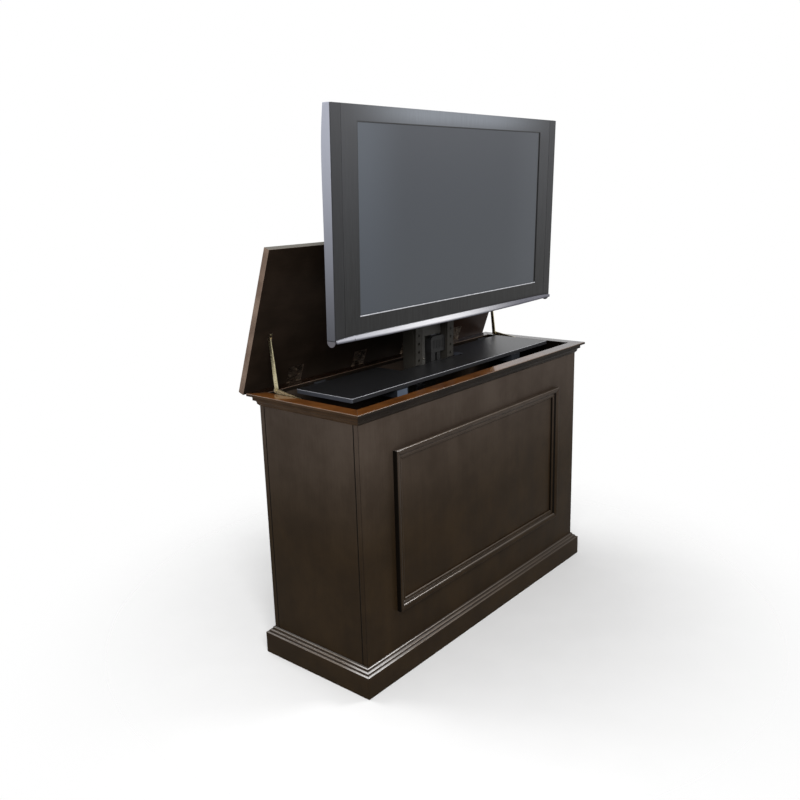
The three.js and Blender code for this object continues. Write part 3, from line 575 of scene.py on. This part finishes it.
def copyNode(node):
    piece = bpy.data.objects.new(node + "_shape", frame["nodes"][node].data.copy())
    bpy.context.collection.objects.link(piece)
    activate(piece)
    bpy.ops.object.mode_set(mode="EDIT")
    bpy.ops.mesh.select_all(action="SELECT")
    bpy.ops.mesh.remove_doubles(threshold=meshSettings["merge"])
    bpy.ops.mesh.dissolve_limited(angle_limit=math.radians(meshSettings["flatAngle"]))
    bpy.ops.object.mode_set(mode="OBJECT")
    return piece


def refine(node, material, width, segments=2, shape=None):
    piece = copyNode(node)
    if shape:
        shape(piece)
    roundEdges(piece, width, segments)
    smooth(piece)
    return dress(piece, material, node, node)


print("tools ready")

# Cabinet body
bodyRounding = {"panel": 0.0009, "rim": 0.0005, "backRim": 0.0016, "base": 0.0012, "panelMoulding": 0.0014}
espressoPanel = panelWood()
mouldingX = mouldingWood("espresso_moulding_x", "x")
mouldingY = mouldingWood("espresso_moulding_y", "y")
mouldingZ = stileWood()
rimX = rimWood("rim_x", "x", "top", "frontSide")
rimLeft = rimWood("rim_left", "y", "top", "endSide")
rimRight = rimWood("rim_right", "y", "reflectingRightTop", "endSide")
rimBack = rimWood("rim_back", "x", "shadedBackTop", "frontSide")

for panel in ("front_panel", "back_panel", "left_side_panel", "right_side_panel"):
    refine(panel, espressoPanel, bodyRounding["panel"])
mouldings = (
    ("front", mouldingX, rimX), ("back", mouldingX, rimBack), ("left", mouldingY, rimLeft),
    ("right", mouldingY, rimRight),
)
for side, wood, rim in mouldings:
    refine(side + "_top_moulding", rim, bodyRounding["backRim" if side == "back" else "rim"])
    refine(side + "_base_moulding", wood, bodyRounding["base"])
for side, wood in (("top", mouldingX), ("bottom", mouldingX), ("left", mouldingZ), ("right", mouldingZ)):
    refine("panel_moulding_" + side, wood, bodyRounding["panelMoulding"])
refine("floor_panel", innerBoard(boardSettings), bodyRounding["panel"])
print("cabinet body done")

# Lid, hinges and stays
lidRounding = {"panel": 0.0008, "leaf": 0.0004, "stay": 0.0007}
bronzePaint = bronzeSteel()
glintKnucklePaint = glintKnuckleSteel()
brassPaint = brassPlate()


def lengthenLid(piece):  # its foot reaches a little lower behind the moulding, so no light shows there
    pickFaces(piece, lambda spot, normal: normal.dot(lidAlong) > 0.9 and spot.z < lidSettings["footBelow"])
    bpy.ops.transform.translate(value=lidAlong * lidSettings["reach"])
    bpy.ops.object.mode_set(mode="OBJECT")


refine("lid_panel", lidWood(lidSettings), lidRounding["panel"], shape=lengthenLid)
for number in (1, 2, 3, 4):
    refine(f"hinge_lid_leaf_{number}", bronzePaint, lidRounding["leaf"])
    refine(f"hinge_body_leaf_{number}", glintKnucklePaint, lidRounding["leaf"])
for hand in ("left", "right"):
    refine(hand + "_lid_bracket", bronzePaint, lidRounding["stay"])
    for piece in ("_stay_bracket", "_lower_link", "_upper_link"):
        refine(hand + piece, brassPaint, lidRounding["stay"])
print("lid done")

# Lift
liftSettings = {
    "tube": 0.0008, "rail": 0.0005, "tooth": 0.0002, "plate": 0.0006, "bumper": 0.002, "cover": 0.0015,
    "motor": 0.0005, "shelf": 0.001, "housingBelow": 0.9, "housingRise": 0.027,
}
capSettings = {
    "size": (0.0486, 0.004, 0.0216), "x": 0.318, "y": -0.1175, "z": 0.8421,
    "band": 0.003, "sunk": -0.0008, "round": 0.0005,
}
coatPaint = powderCoat()
blackPaint = blackPlastic()
zincPaint = zincSteel()
channelAndShadedCapPaint = channelPaint()


def shortenHousing(piece):  # its lower edge ends above the gear, as the photograph shows
    for vert in piece.data.vertices:
        if vert.co.z < liftSettings["housingBelow"]:
            vert.co.z += liftSettings["housingRise"]


def makeEndCap(hand, side, paint, settings):  # closes the front end of a bearer channel
    depth = settings["size"][1]
    middle = (side * settings["x"], settings["y"] + depth / 2, settings["z"])
    cap = addBox(hand + "_bearer_cap", middle, settings["size"])
    pickFaces(cap, lambda spot, normal: normal.y < -0.9)
    bpy.ops.mesh.inset(thickness=settings["band"], depth=settings["sunk"])
    bpy.ops.object.mode_set(mode="OBJECT")
    roundEdges(cap, settings["round"])
    smooth(cap)
    dress(cap, paint, "shelf_bearer")


for node in ("fixed_column", "column_wall_bracket", "middle_column"):
    refine(node, coatPaint, liftSettings["tube"])
for hand in ("left", "right"):
    refine(hand + "_carriage_tube", coatPaint, liftSettings["tube"])
for node in ("upper_cross_member", "left_tv_rail", "right_tv_rail"):
    refine(node, coatPaint, liftSettings["rail"])
for node in ("fixed_rack", "carriage_rack", "drive_pinion"):
    refine(node, zincPaint, liftSettings["tooth"], 1)
refine("mast_plate", platePaint(), liftSettings["plate"])
refine("column_guide", whiteNylon(), liftSettings["plate"])
refine("lid_bumper", rubber(), liftSettings["bumper"], 3)
refine("motor_housing", blackPaint, liftSettings["cover"], 3, shortenHousing)
refine("control_box", blackPaint, liftSettings["cover"], 3)
refine("drive_motor", blackPaint, liftSettings["motor"])
refine("equipment_shelf", shelfLaminate(shelfSettings), liftSettings["shelf"], 3)
refine("shelf_bearer", channelAndShadedCapPaint, liftSettings["tube"])
makeEndCap("left", -1, bluePaint(), capSettings)
# the right cap takes the dark channel paint: painted shade, as it lies in shadow
makeEndCap("right", 1, channelAndShadedCapPaint, capSettings)
print("lift done")

# Television
tiltAxis = next(joint["axis"] for joint in frame["joints"] if joint["name"] == "power_button_press")
tilt = math.atan2(abs(tiltAxis[2]), abs(tiltAxis[1]))
bezelLow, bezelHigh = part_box("tv_bezel")
setSettings = {
    "foot": (0, -0.099, 1.0337), "lowZ": bezelLow.z, "highZ": bezelHigh.z,
    "screenWide": 0.948, "screenLow": 0.058, "screenHigh": 0.582,
    "seamX": 0.536, "seamWidth": 0.0014, "seamDepth": 0.0009,
}
setRounding = {
    "bezel": 0.0012, "screen": 0.0006, "bottomTrim": 0.003, "sideTrim": 0.001, "button": 0.0006,
    "cover": 0.0012,
}
bezelSettings = {
    "grain": 1600.0, "streaks": 300.0, "stretch": (1, 1, 0.03), "tones": (rgb(28, 28, 28), rgb(56, 57, 60)),
    "topHighlight": rgb(120, 125, 132), "highlightLeft": (-0.55, -0.15), "highlightRight": (0.1, 0.6),
    "highlightDown": (0.08, 0.01), "streak": rgb(70, 71, 73), "streakSpread": (0.35, 0.7, 0.0, 0.12),
    "band": rgb(34, 34, 36), "bandShare": 0.4, "rough": (0.36, 0.46), "specular": 0.15,
    "bump": 0.15, "depth": 0.0001,
}
screenSettings = {
    "cells": 1800.0, "tones": (rgb(58, 62, 67), rgb(50, 54, 61)), "cell": rgb(48, 51, 56), "cellShare": 0.2,
    "left": (rgb(58, 63, 70), rgb(74, 80, 88)), "leftX": (-0.47, -0.25), "leftShare": 0.8,
    "right": rgb(70, 74, 80), "rightX": (0.25, 0.47), "rightShare": 0.5,
    "shadow": rgb(12, 12, 14), "shadowWidth": 0.0085, "shadowFade": 0.0008,
    "rough": (0.46, 0.52), "specular": 0.28, "bump": 0.05, "depth": 0.0001,
}
sideTrimSettings = {
    "streaks": 900.0, "tones": (rgb(62, 63, 68), rgb(162, 165, 177)), "darkBelow": 0.1,
    "streak": rgb(120, 122, 132), "streakSpread": (0.3, 0.8, 0.0, 0.12),
    "front": rgb(40, 41, 44), "frontFrom": (0.45, 0.65), "foot": rgb(92, 90, 95), "footHeight": 0.017,
    "ring": rgb(24, 24, 26), "ringHeight": 0.0022, "rough": (0.34, 0.4), "metallic": 0.7,
}
brightTrimSettings = {
    "streaks": 700.0, "left": rgb(174, 175, 183), "middle": rgb(238, 238, 242), "right": rgb(112, 112, 121),
    "leftX": (-0.6, -0.1), "rightX": (-0.1, 0.4),
    "streak": rgb(120, 121, 128), "streakSpread": (0.3, 0.8, 0.0, 0.1),
    "lower": rgb(76, 76, 84), "lowerRise": (0.001, 0.008), "sag": 0.011, "curve": 0.0215,
    "under": rgb(44, 44, 49), "underFrom": (0.05, 0.5), "rough": (0.14, 0.2), "metallic": 0.2,
    "specular": 0.05, "coat": 0.3, "coatRough": 0.1,
}
coverSettings = {
    "draw": 0.979, "fromX": 0.54, "fromY": 0.03, "rows": (0.49, 0.42, 0.13), "vents": 46, "pitch": 0.018,
    "vent": (0.006, 0.02, 0.05), "ventY": 0.095, "ventRound": 0.0027,
}
screenTurn = Matrix.Translation(setSettings["foot"]) @ Matrix.Rotation(tilt, 4, "X")


def bezelPlastic(settings):  # painted light, lighter towards the top with a painted highlight along it, and a darker band outside each seam
    paint = Paint("bezel_plastic")
    fine = paint.noise(settings["grain"], 2.0, 0.6)
    streak = paint.noise(settings["streaks"], 2.0, 0.5, settings["stretch"])
    height = paint.spread(paint.axis("Z"), setSettings["lowZ"], setSettings["highZ"])
    # painted light: lighter towards the top, with a painted highlight in the middle of the top
    colour = paint.mix(height, *settings["tones"])
    topHighlight = paint.spread(paint.axis("X"), *settings["highlightLeft"])
    topHighlight = (1 - paint.spread(paint.axis("X"), *settings["highlightRight"])) * topHighlight
    low, high = [setSettings["highZ"] - down for down in settings["highlightDown"]]
    topHighlight = paint.spread(paint.axis("Z"), low, high) * topHighlight
    colour = paint.mix(topHighlight, colour, settings["topHighlight"])
    colour = paint.mix(paint.spread(streak, *settings["streakSpread"]), colour, settings["streak"])
    band = abs(paint.axis("X")) > setSettings["seamX"]
    colour = paint.mix(band * settings["bandShare"], colour, settings["band"])
    return paint.finish(
        Base_Color=colour, Roughness=paint.vary(fine, *settings["rough"]),
        Specular_IOR_Level=settings["specular"],
        Normal=paint.bump(fine, settings["bump"], settings["depth"]))


def screenGlass(settings):  # painted reflections, changing with height and lighter to both sides, with the bezel's painted shadow along the right edge
    paint = Paint("screen_glass")
    cell = paint.noise(settings["cells"], 1.0, 0.5)
    height = paint.spread(paint.axis("Z"), setSettings["lowZ"], setSettings["highZ"])
    left = 1 - paint.spread(paint.axis("X"), *settings["leftX"])
    right = paint.spread(paint.axis("X"), *settings["rightX"])
    # painted reflection: the tone changes with height and grows lighter to each side
    colour = paint.mix(height, *settings["tones"])
    colour = paint.mix(left * settings["leftShare"], colour, paint.mix(height, *settings["left"]))
    colour = paint.mix(right * settings["rightShare"], colour, settings["right"])
    colour = paint.mix(cell * settings["cellShare"], colour, settings["cell"])
    # painted shadow of the bezel along the screen's right edge
    edge = setSettings["screenWide"] / 2 - settings["shadowWidth"]
    shadow = paint.spread(paint.axis("X"), edge, edge + settings["shadowFade"])
    return paint.finish(
        Base_Color=paint.mix(shadow, colour, settings["shadow"]),
        Roughness=paint.vary(cell, *settings["rough"]), Specular_IOR_Level=settings["specular"],
        Normal=paint.bump(cell, settings["bump"], settings["depth"]))


def sideTrimPaint(settings):  # satin silver with painted reflection, darker towards the foot and on the faces turned to the front; a dark ring sets off the foot
    paint = Paint("silver_plastic")
    streak = paint.noise(settings["streaks"], 2.0, 0.6, grainScales["z"])
    # painted reflection: darker towards the foot
    height = paint.spread(paint.axis("Z"), setSettings["lowZ"] - settings["darkBelow"], setSettings["highZ"])
    colour = paint.mix(height, *settings["tones"])
    colour = paint.mix(paint.spread(streak, *settings["streakSpread"]), colour, settings["streak"])
    # painted reflection: darker on the faces turned to the front
    front = paint.spread(paint.facing((0, -1, 0)), *settings["frontFrom"])
    colour = paint.mix(front, colour, settings["front"])
    rise = paint.axis("Z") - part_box("tv_left_trim")[0].z
    above = rise > settings["footHeight"]
    colour = paint.mix(above, settings["foot"], colour)
    ring = (rise < settings["footHeight"] + settings["ringHeight"]) * above
    return paint.finish(
        Base_Color=paint.mix(ring, colour, settings["ring"]),
        Roughness=paint.vary(streak, *settings["rough"]), Metallic=settings["metallic"])


def brightTrimPaint(settings):  # painted reflection: lightest in the middle, darker to the ends and on the lower band, with painted shade where the rounding turns down
    paint = Paint("bright_trim")
    streak = paint.noise(settings["streaks"], 2.0, 0.6, grainScales["x"])
    across = paint.axis("X")
    # painted reflection along the trim: lightest in the middle, darker to each end
    colour = paint.mix(paint.spread(across, *settings["leftX"]), settings["left"], settings["middle"])
    right = paint.spread(across, *settings["rightX"])
    colour = paint.mix(right, colour, settings["right"])
    colour = paint.mix(paint.spread(streak, *settings["streakSpread"]), colour, settings["streak"])
    rise = paint.axis("Z") - setSettings["foot"][2] + settings["sag"] - across * across * settings["curve"]
    # painted reflection: darker on the lower band
    colour = paint.mix(paint.spread(rise, *settings["lowerRise"]), settings["lower"], colour)
    # painted shade where the rounding turns down
    under = paint.spread(paint.facing((0, 0, -1)), *settings["underFrom"])
    return paint.finish(
        Base_Color=paint.mix(under, colour, settings["under"]),
        Roughness=paint.vary(streak, *settings["rough"]), Metallic=settings["metallic"],
        Specular_IOR_Level=settings["specular"], Coat_Weight=(1 - right) * settings["coat"],
        Coat_Roughness=settings["coatRough"])


def cutSeams(piece):  # a shallow groove down each side of the bezel
    half = setSettings["seamWidth"] / 2
    seam = setSettings["seamX"]
    activate(piece)
    bpy.ops.object.mode_set(mode="EDIT")
    for x in (-seam - half, half - seam, seam - half, seam + half):
        bpy.ops.mesh.select_all(action="SELECT")
        bpy.ops.mesh.bisect(plane_co=(x, 0, 0), plane_no=(1, 0, 0))
    pickFaces(piece, lambda spot, normal: normal.y < -0.9 and abs(abs(spot.x) - seam) < half)
    bpy.ops.mesh.extrude_region_move(TRANSFORM_OT_translate={"value": (0, setSettings["seamDepth"], 0)})
    bpy.ops.object.mode_set(mode="OBJECT")


def makeVentCutter(settings):  # one row of upright slots as a single object, in the set's own frame
    reach = (settings["vents"] - 1) * settings["pitch"] / 2
    cutter = addBox("vent_cutter", (-reach, settings["ventY"], 0), settings["vent"])
    roundEdges(cutter, settings["ventRound"])
    row = cutter.modifiers.new("row", "ARRAY")
    row.count = settings["vents"]
    row.use_relative_offset = False
    row.use_constant_offset = True
    row.constant_offset_displace = (settings["pitch"], 0, 0)
    bpy.ops.object.modifier_apply(modifier=row.name)
    return cutter


def shapeCover(piece):  # its sides are drawn in a little, and three rows of vents are cut
    piece.data.transform(screenTurn.inverted())
    for vert in piece.data.vertices:
        if vert.co.y > coverSettings["fromY"] and abs(vert.co.x) > coverSettings["fromX"]:
            vert.co.x *= coverSettings["draw"]
    piece.data.transform(screenTurn)
    for z in coverSettings["rows"]:
        cutter = makeVentCutter(coverSettings)
        cutter.data.transform(screenTurn @ Matrix.Translation((0, 0, z)))
        cutAway(piece, cutter)


silverPaint = sideTrimPaint(sideTrimSettings)
brightPaint = brightTrimPaint(brightTrimSettings)
refine("tv_bezel", bezelPlastic(bezelSettings), setRounding["bezel"], 3, cutSeams)
refine("tv_screen", screenGlass(screenSettings), setRounding["screen"])
refine("tv_bottom_trim", brightPaint, setRounding["bottomTrim"], 5)
refine("tv_left_trim", silverPaint, setRounding["sideTrim"], 3)
refine("tv_right_trim", silverPaint, setRounding["sideTrim"], 3)
refine("tv_power_button", brightPaint, setRounding["button"], 3)
refine("tv_back_cover", blackPaint, setRounding["cover"], shape=shapeCover)
print("television done")

# Screws, each a head with a cross recess
screwSettings = {
    "sides": 24, "head": 0.55, "round": 0.22, "recess": 0.62, "recessWidth": 0.24, "recessDepth": 0.3,
    "firstTurn": 0.5, "smoothAngle": 40,
}
hingeScrews = {
    "places": (-0.43, -0.13, 0.13, 0.43), "radius": 0.0042,
    "lidSpots": ((-0.019, -0.022), (0.019, -0.022), (0, -0.044)), "lidFace": 0.0071,
    "bodySpots": ((-0.019, 0.8285), (0.019, 0.8285), (0, 0.8355)), "bodyFace": 0.2282,
}
stayScrews = {
    "bodyFace": 0.58705, "bodyY": (-0.004, 0.024), "bodyZ": 0.8305, "bodyRadius": 0.0038,
    "lidX": 0.5697, "lidY": (-0.18866, -0.17666), "lidFace": 0.0043, "lidRadius": 0.003,
}
railBolts = {"x": 0.0865, "face": 0.0971, "heights": (0.0744, 0.2144, 0.4104, 0.5504), "radius": 0.0085}
plateScrews = {"face": 0.0285, "spots": ((-0.028, 0.882), (-0.05, 1.19), (0.05, 1.19)), "radius": 0.0035}
coverScrews = {
    "across": (-0.54, -0.27, 0, 0.27, 0.54), "heights": (0.0105, 0.6135), "face": 0.0363, "radius": 0.0035,
}


def makeScrewHead(settings):
    head = addDisc("screw_head", settings["sides"], settings["head"])
    roundEdges(head, settings["round"], 3)
    for turn in (0, math.pi / 2):
        sizes = (2 * settings["recess"], settings["recessWidth"], 2 * settings["recessDepth"])
        cutter = addBox("recess", (0, 0, settings["head"]), sizes)
        cutter.data.transform(Matrix.Rotation(turn, 4, "Z"))
        cutAway(head, cutter)
    smooth(head, settings["smoothAngle"])
    return head


def placeCopies(name, model, turn, spots, normal, radius, paint, carrier):  # each copy is turned further
    facing = Vector(normal).to_track_quat("Z", "Y").to_matrix().to_4x4()
    made = []
    for number, spot in enumerate(spots):
        spin = Matrix.Rotation(screwSettings["firstTurn"] + number, 4, "Z")
        piece = bpy.data.objects.new(name, model.data.copy())
        piece.data.transform(turn @ Matrix.Translation(spot) @ facing @ spin @ Matrix.Scale(radius, 4))
        bpy.context.collection.objects.link(piece)
        made.append(piece)
    dress(joinPieces(made), paint, carrier)


screwPaint = screwSteel()
screwHead = makeScrewHead(screwSettings)
lidTurn = Matrix.Translation(lidSettings["pivot"]) @ Matrix.Rotation(-lidSettings["open"], 4, "X")
still = Matrix.Identity(4)


def placeScrews(name, turn, spots, normal, radius, paint, carrier):
    placeCopies(name, screwHead, turn, spots, normal, radius, paint, carrier)


def screwHinges(settings):
    for number, x in enumerate(settings["places"], 1):
        spots = [(x + across, along, settings["lidFace"]) for across, along in settings["lidSpots"]]
        placeScrews(
            f"lid_leaf_screws_{number}", lidTurn, spots, (0, 0, -1), settings["radius"], bronzePaint,
            f"hinge_lid_leaf_{number}")
        spots = [(x + across, settings["bodyFace"], z) for across, z in settings["bodySpots"]]
        placeScrews(
            f"body_leaf_screws_{number}", still, spots, (0, 1, 0), settings["radius"], bronzePaint,
            f"hinge_body_leaf_{number}")


def screwStays(hand, side, settings):
    spots = [(side * settings["bodyFace"], y, settings["bodyZ"]) for y in settings["bodyY"]]
    placeScrews(
        hand + "_stay_bracket_screws", still, spots, (-side, 0, 0), settings["bodyRadius"], brassPaint,
        hand + "_stay_bracket")
    spots = [(side * settings["lidX"], y, settings["lidFace"]) for y in settings["lidY"]]
    placeScrews(
        hand + "_lid_bracket_screws", lidTurn, spots, (0, 0, -1), settings["lidRadius"], brassPaint,
        hand + "_lid_bracket")


def boltRail(hand, side, settings):
    spots = [(side * settings["x"], settings["face"], z) for z in settings["heights"]]
    placeScrews(
        hand + "_rail_bolts", screenTurn, spots, (0, 1, 0), settings["radius"], screwPaint, hand + "_tv_rail")


def screwPlate(settings):
    spots = [(x, settings["face"], z) for x, z in settings["spots"]]
    placeScrews("mast_plate_screws", still, spots, (0, -1, 0), settings["radius"], screwPaint, "mast_plate")


def screwCover(settings):
    spots = [(x, settings["face"], z) for x in settings["across"] for z in settings["heights"]]
    placeScrews(
        "back_cover_screws", screenTurn, spots, (0, 1, 0), settings["radius"], coatPaint, "tv_back_cover")


screwHinges(hingeScrews)
for hand, side in (("left", -1), ("right", 1)):
    screwStays(hand, side, stayScrews)
    boltRail(hand, side, railBolts)
screwPlate(plateScrews)
screwCover(coverScrews)
bpy.data.objects.remove(screwHead)
print("screws done")

# Thin frames: the gasket round the screen, the liner of the cable outlet and the field of the set's sockets
gasketSettings = {
    "band": 0.0022, "depth": 0.0012, "sunk": 0.0005, "slack": 0.0006, "strip": 0.003, "stripDepth": 0.0011,
    "round": 0.0003,
}
outletSettings = {
    "width": 0.18, "height": 0.06, "z": 0.14, "lip": 0.009, "proud": 0.0025, "face": 0.1985, "sleeve": 0.018,
    "wall": 0.0025, "gap": 0.0003, "sleeveRound": 0.0004, "lipRound": 0.0008,
}
socketSettings = {
    "field": (0.3, 0.0952, 0.2), "width": 0.17, "height": 0.09, "depth": 0.003, "band": 0.005,
    "round": 0.0006, "columns": 6, "pitch": 0.025, "rows": (0.18, 0.22), "radius": 0.0062,
    "sides": 20, "high": 0.6, "rim": 0.35, "wall": 0.02, "sunk": -0.45, "edge": 0.06,
}


def makeFrame(name, middle, sizes, band, rounding):  # a flat frame that stands upright
    piece = addBox(name, middle, sizes)
    pickFaces(piece, lambda spot, normal: abs(normal.y) > 0.9)
    bpy.ops.mesh.inset(thickness=band, use_individual=True)
    bpy.ops.mesh.bridge_edge_loops()
    bpy.ops.mesh.select_all(action="SELECT")
    bpy.ops.mesh.normals_make_consistent(inside=False)
    bpy.ops.object.mode_set(mode="OBJECT")
    roundEdges(piece, rounding)
    return piece


def makeGasket(settings):
    wide = setSettings["screenWide"] - settings["slack"]
    high = setSettings["screenHigh"] - setSettings["screenLow"] - settings["slack"]
    z = (setSettings["screenLow"] + setSettings["screenHigh"]) / 2
    middle = (0, settings["depth"] / 2 + settings["sunk"], z)
    sizes = (wide, settings["depth"], high)
    gasket = makeFrame("screen_gasket", middle, sizes, settings["band"], settings["round"])
    gasket.data.transform(screenTurn)
    smooth(gasket)
    dress(gasket, blackPaint, "tv_bezel")


def makeHighlightStrip(settings):  # a bright strip that stands in for the light line along the lower edge of the screen: painted highlight
    middle = (0, 0, setSettings["screenLow"] + settings["strip"] / 2)
    sizes = (setSettings["screenWide"] - settings["slack"], settings["stripDepth"], settings["strip"])
    strip = addBox("screen_highlight_strip", middle, sizes)
    roundEdges(strip, settings["round"])
    strip.data.transform(screenTurn)
    smooth(strip)
    dress(strip, highlightStripMetal(), "tv_bezel")


def makeOutletLiner(settings):  # a sleeve through the panel and a lip outside it
    wide, high = settings["width"] - 2 * settings["gap"], settings["height"] - 2 * settings["gap"]
    middle = (0, settings["face"] - settings["sleeve"] / 2, settings["z"])
    sizes = (wide, settings["sleeve"], high)
    sleeve = makeFrame("outlet_liner", middle, sizes, settings["wall"], settings["sleeveRound"])
    middle = (0, settings["face"] + settings["gap"] + settings["proud"] / 2, settings["z"])
    sizes = (wide + 2 * settings["lip"], settings["proud"], high + 2 * settings["lip"])
    lip = makeFrame("outlet_lip", middle, sizes, settings["lip"] + settings["wall"], settings["lipRound"])
    liner = joinPieces([sleeve, lip])
    smooth(liner)
    dress(liner, blackPaint, "control_box")


def makeSocket(settings):  # radius 1, a ring with a sunk middle
    socket = addDisc("socket", settings["sides"], settings["high"])
    pickFaces(socket, lambda spot, normal: normal.z > 0.9)
    bpy.ops.mesh.inset(thickness=settings["rim"])
    bpy.ops.mesh.inset(thickness=settings["wall"], depth=settings["sunk"])
    bpy.ops.object.mode_set(mode="OBJECT")
    roundEdges(socket, settings["edge"])
    smooth(socket)
    return socket


def makeSocketField(settings):
    x, y, z = settings["field"]
    sizes = (settings["width"], settings["depth"], settings["height"])
    middle = (x, y + settings["depth"] / 2, z)
    field = makeFrame("socket_field", middle, sizes, settings["band"], settings["round"])
    field.data.transform(screenTurn)
    smooth(field)
    dress(field, blackPaint, "tv_back_cover")
    socket = makeSocket(settings)
    first = x - (settings["columns"] - 1) * settings["pitch"] / 2
    columns = [first + column * settings["pitch"] for column in range(settings["columns"])]
    spots = [(across, y, row) for across in columns for row in settings["rows"]]
    placeCopies(
        "set_sockets", socket, screenTurn, spots, (0, 1, 0), settings["radius"], screwPaint, "tv_back_cover")
    bpy.data.objects.remove(socket)


makeGasket(gasketSettings)
makeHighlightStrip(gasketSettings)
makeOutletLiner(outletSettings)
makeSocketField(socketSettings)
print("frames done")

# Floor, lamps and white surroundings
stageSettings = {
    "floorSize": 14.0, "floorDrop": 0.0005, "fade": (0.45, 1.5), "cloud": 6.0, "floor": (0.94, 0.96),
    "world": 0.3,
}
lampSettings = (
    {"name": "key", "place": (-2.0, -1.6, 1.9), "aim": (0, 0, 0.7), "size": 1.0, "power": 50},
    {"name": "fill", "place": (1.9, -1.9, 2.4), "aim": (0, 0, 0.7), "size": 1.0, "power": 36},
    {"name": "back", "place": (-0.8, 2.8, 3.2), "aim": (0, 0, 0.9), "size": 2.4, "power": 75},
)


def floorPaint(settings):  # it turns clear further out, so the white surroundings show
    paint = Paint("floor")
    shade = paint.vary(paint.noise(settings["cloud"], 3.0, 0.5), *settings["floor"])
    colour = paint.wire("ShaderNodeCombineColor", {}, {0: shade, 1: shade, 2: shade})
    diffuse = paint.wire("ShaderNodeBsdfDiffuse", {}, {"Color": colour})
    reach = paint.wire("ShaderNodeVectorMath", {"operation": "LENGTH"}, {0: paint.point()}, "Value")
    fade = paint.spread(reach, *settings["fade"]) * paint.seenRays()
    clear = paint.wire("ShaderNodeBsdfTransparent")
    mixed = paint.wire("ShaderNodeMixShader", {}, {0: fade, 1: diffuse, 2: clear})
    paint.node("ShaderNodeOutputMaterial", {}, {"Surface": mixed})
    return paint.holder


def makeFloor(settings):
    deselectAll()
    bpy.ops.mesh.primitive_plane_add(size=settings["floorSize"], location=(0, 0, -settings["floorDrop"]))
    floor = bpy.context.object
    floor.name = "floor"
    floor.data.materials.append(floorPaint(settings))


def makeLamps(lamps):
    for lamp in lamps:
        data = bpy.data.lights.new(lamp["name"], "AREA")
        data.size = lamp["size"]
        data.energy = lamp["power"]
        made = bpy.data.objects.new(lamp["name"], data)
        bpy.context.collection.objects.link(made)
        made.location = lamp["place"]
        made.visible_camera = False
        away = Vector(lamp["place"]) - Vector(lamp["aim"])
        made.rotation_euler = away.to_track_quat("Z", "Y").to_euler()


def makeWorld(settings):  # dim for the lit object, white where it is seen
    world = bpy.data.worlds.new("surroundings")
    bpy.context.scene.world = world
    paint = Paint("surroundings", world)
    sockets = {"Value": paint.seenRays(), "To Min": settings["world"], "To Max": 1.0}
    strength = paint.wire("ShaderNodeMapRange", {}, sockets)
    background = paint.wire("ShaderNodeBackground", {}, {"Color": (1, 1, 1, 1), "Strength": strength})
    paint.node("ShaderNodeOutputWorld", {}, {"Surface": background})


makeFloor(stageSettings)
makeLamps(lampSettings)
makeWorld(stageSettings)
bpy.context.scene.view_settings.view_transform = "Standard"
print("stage done")
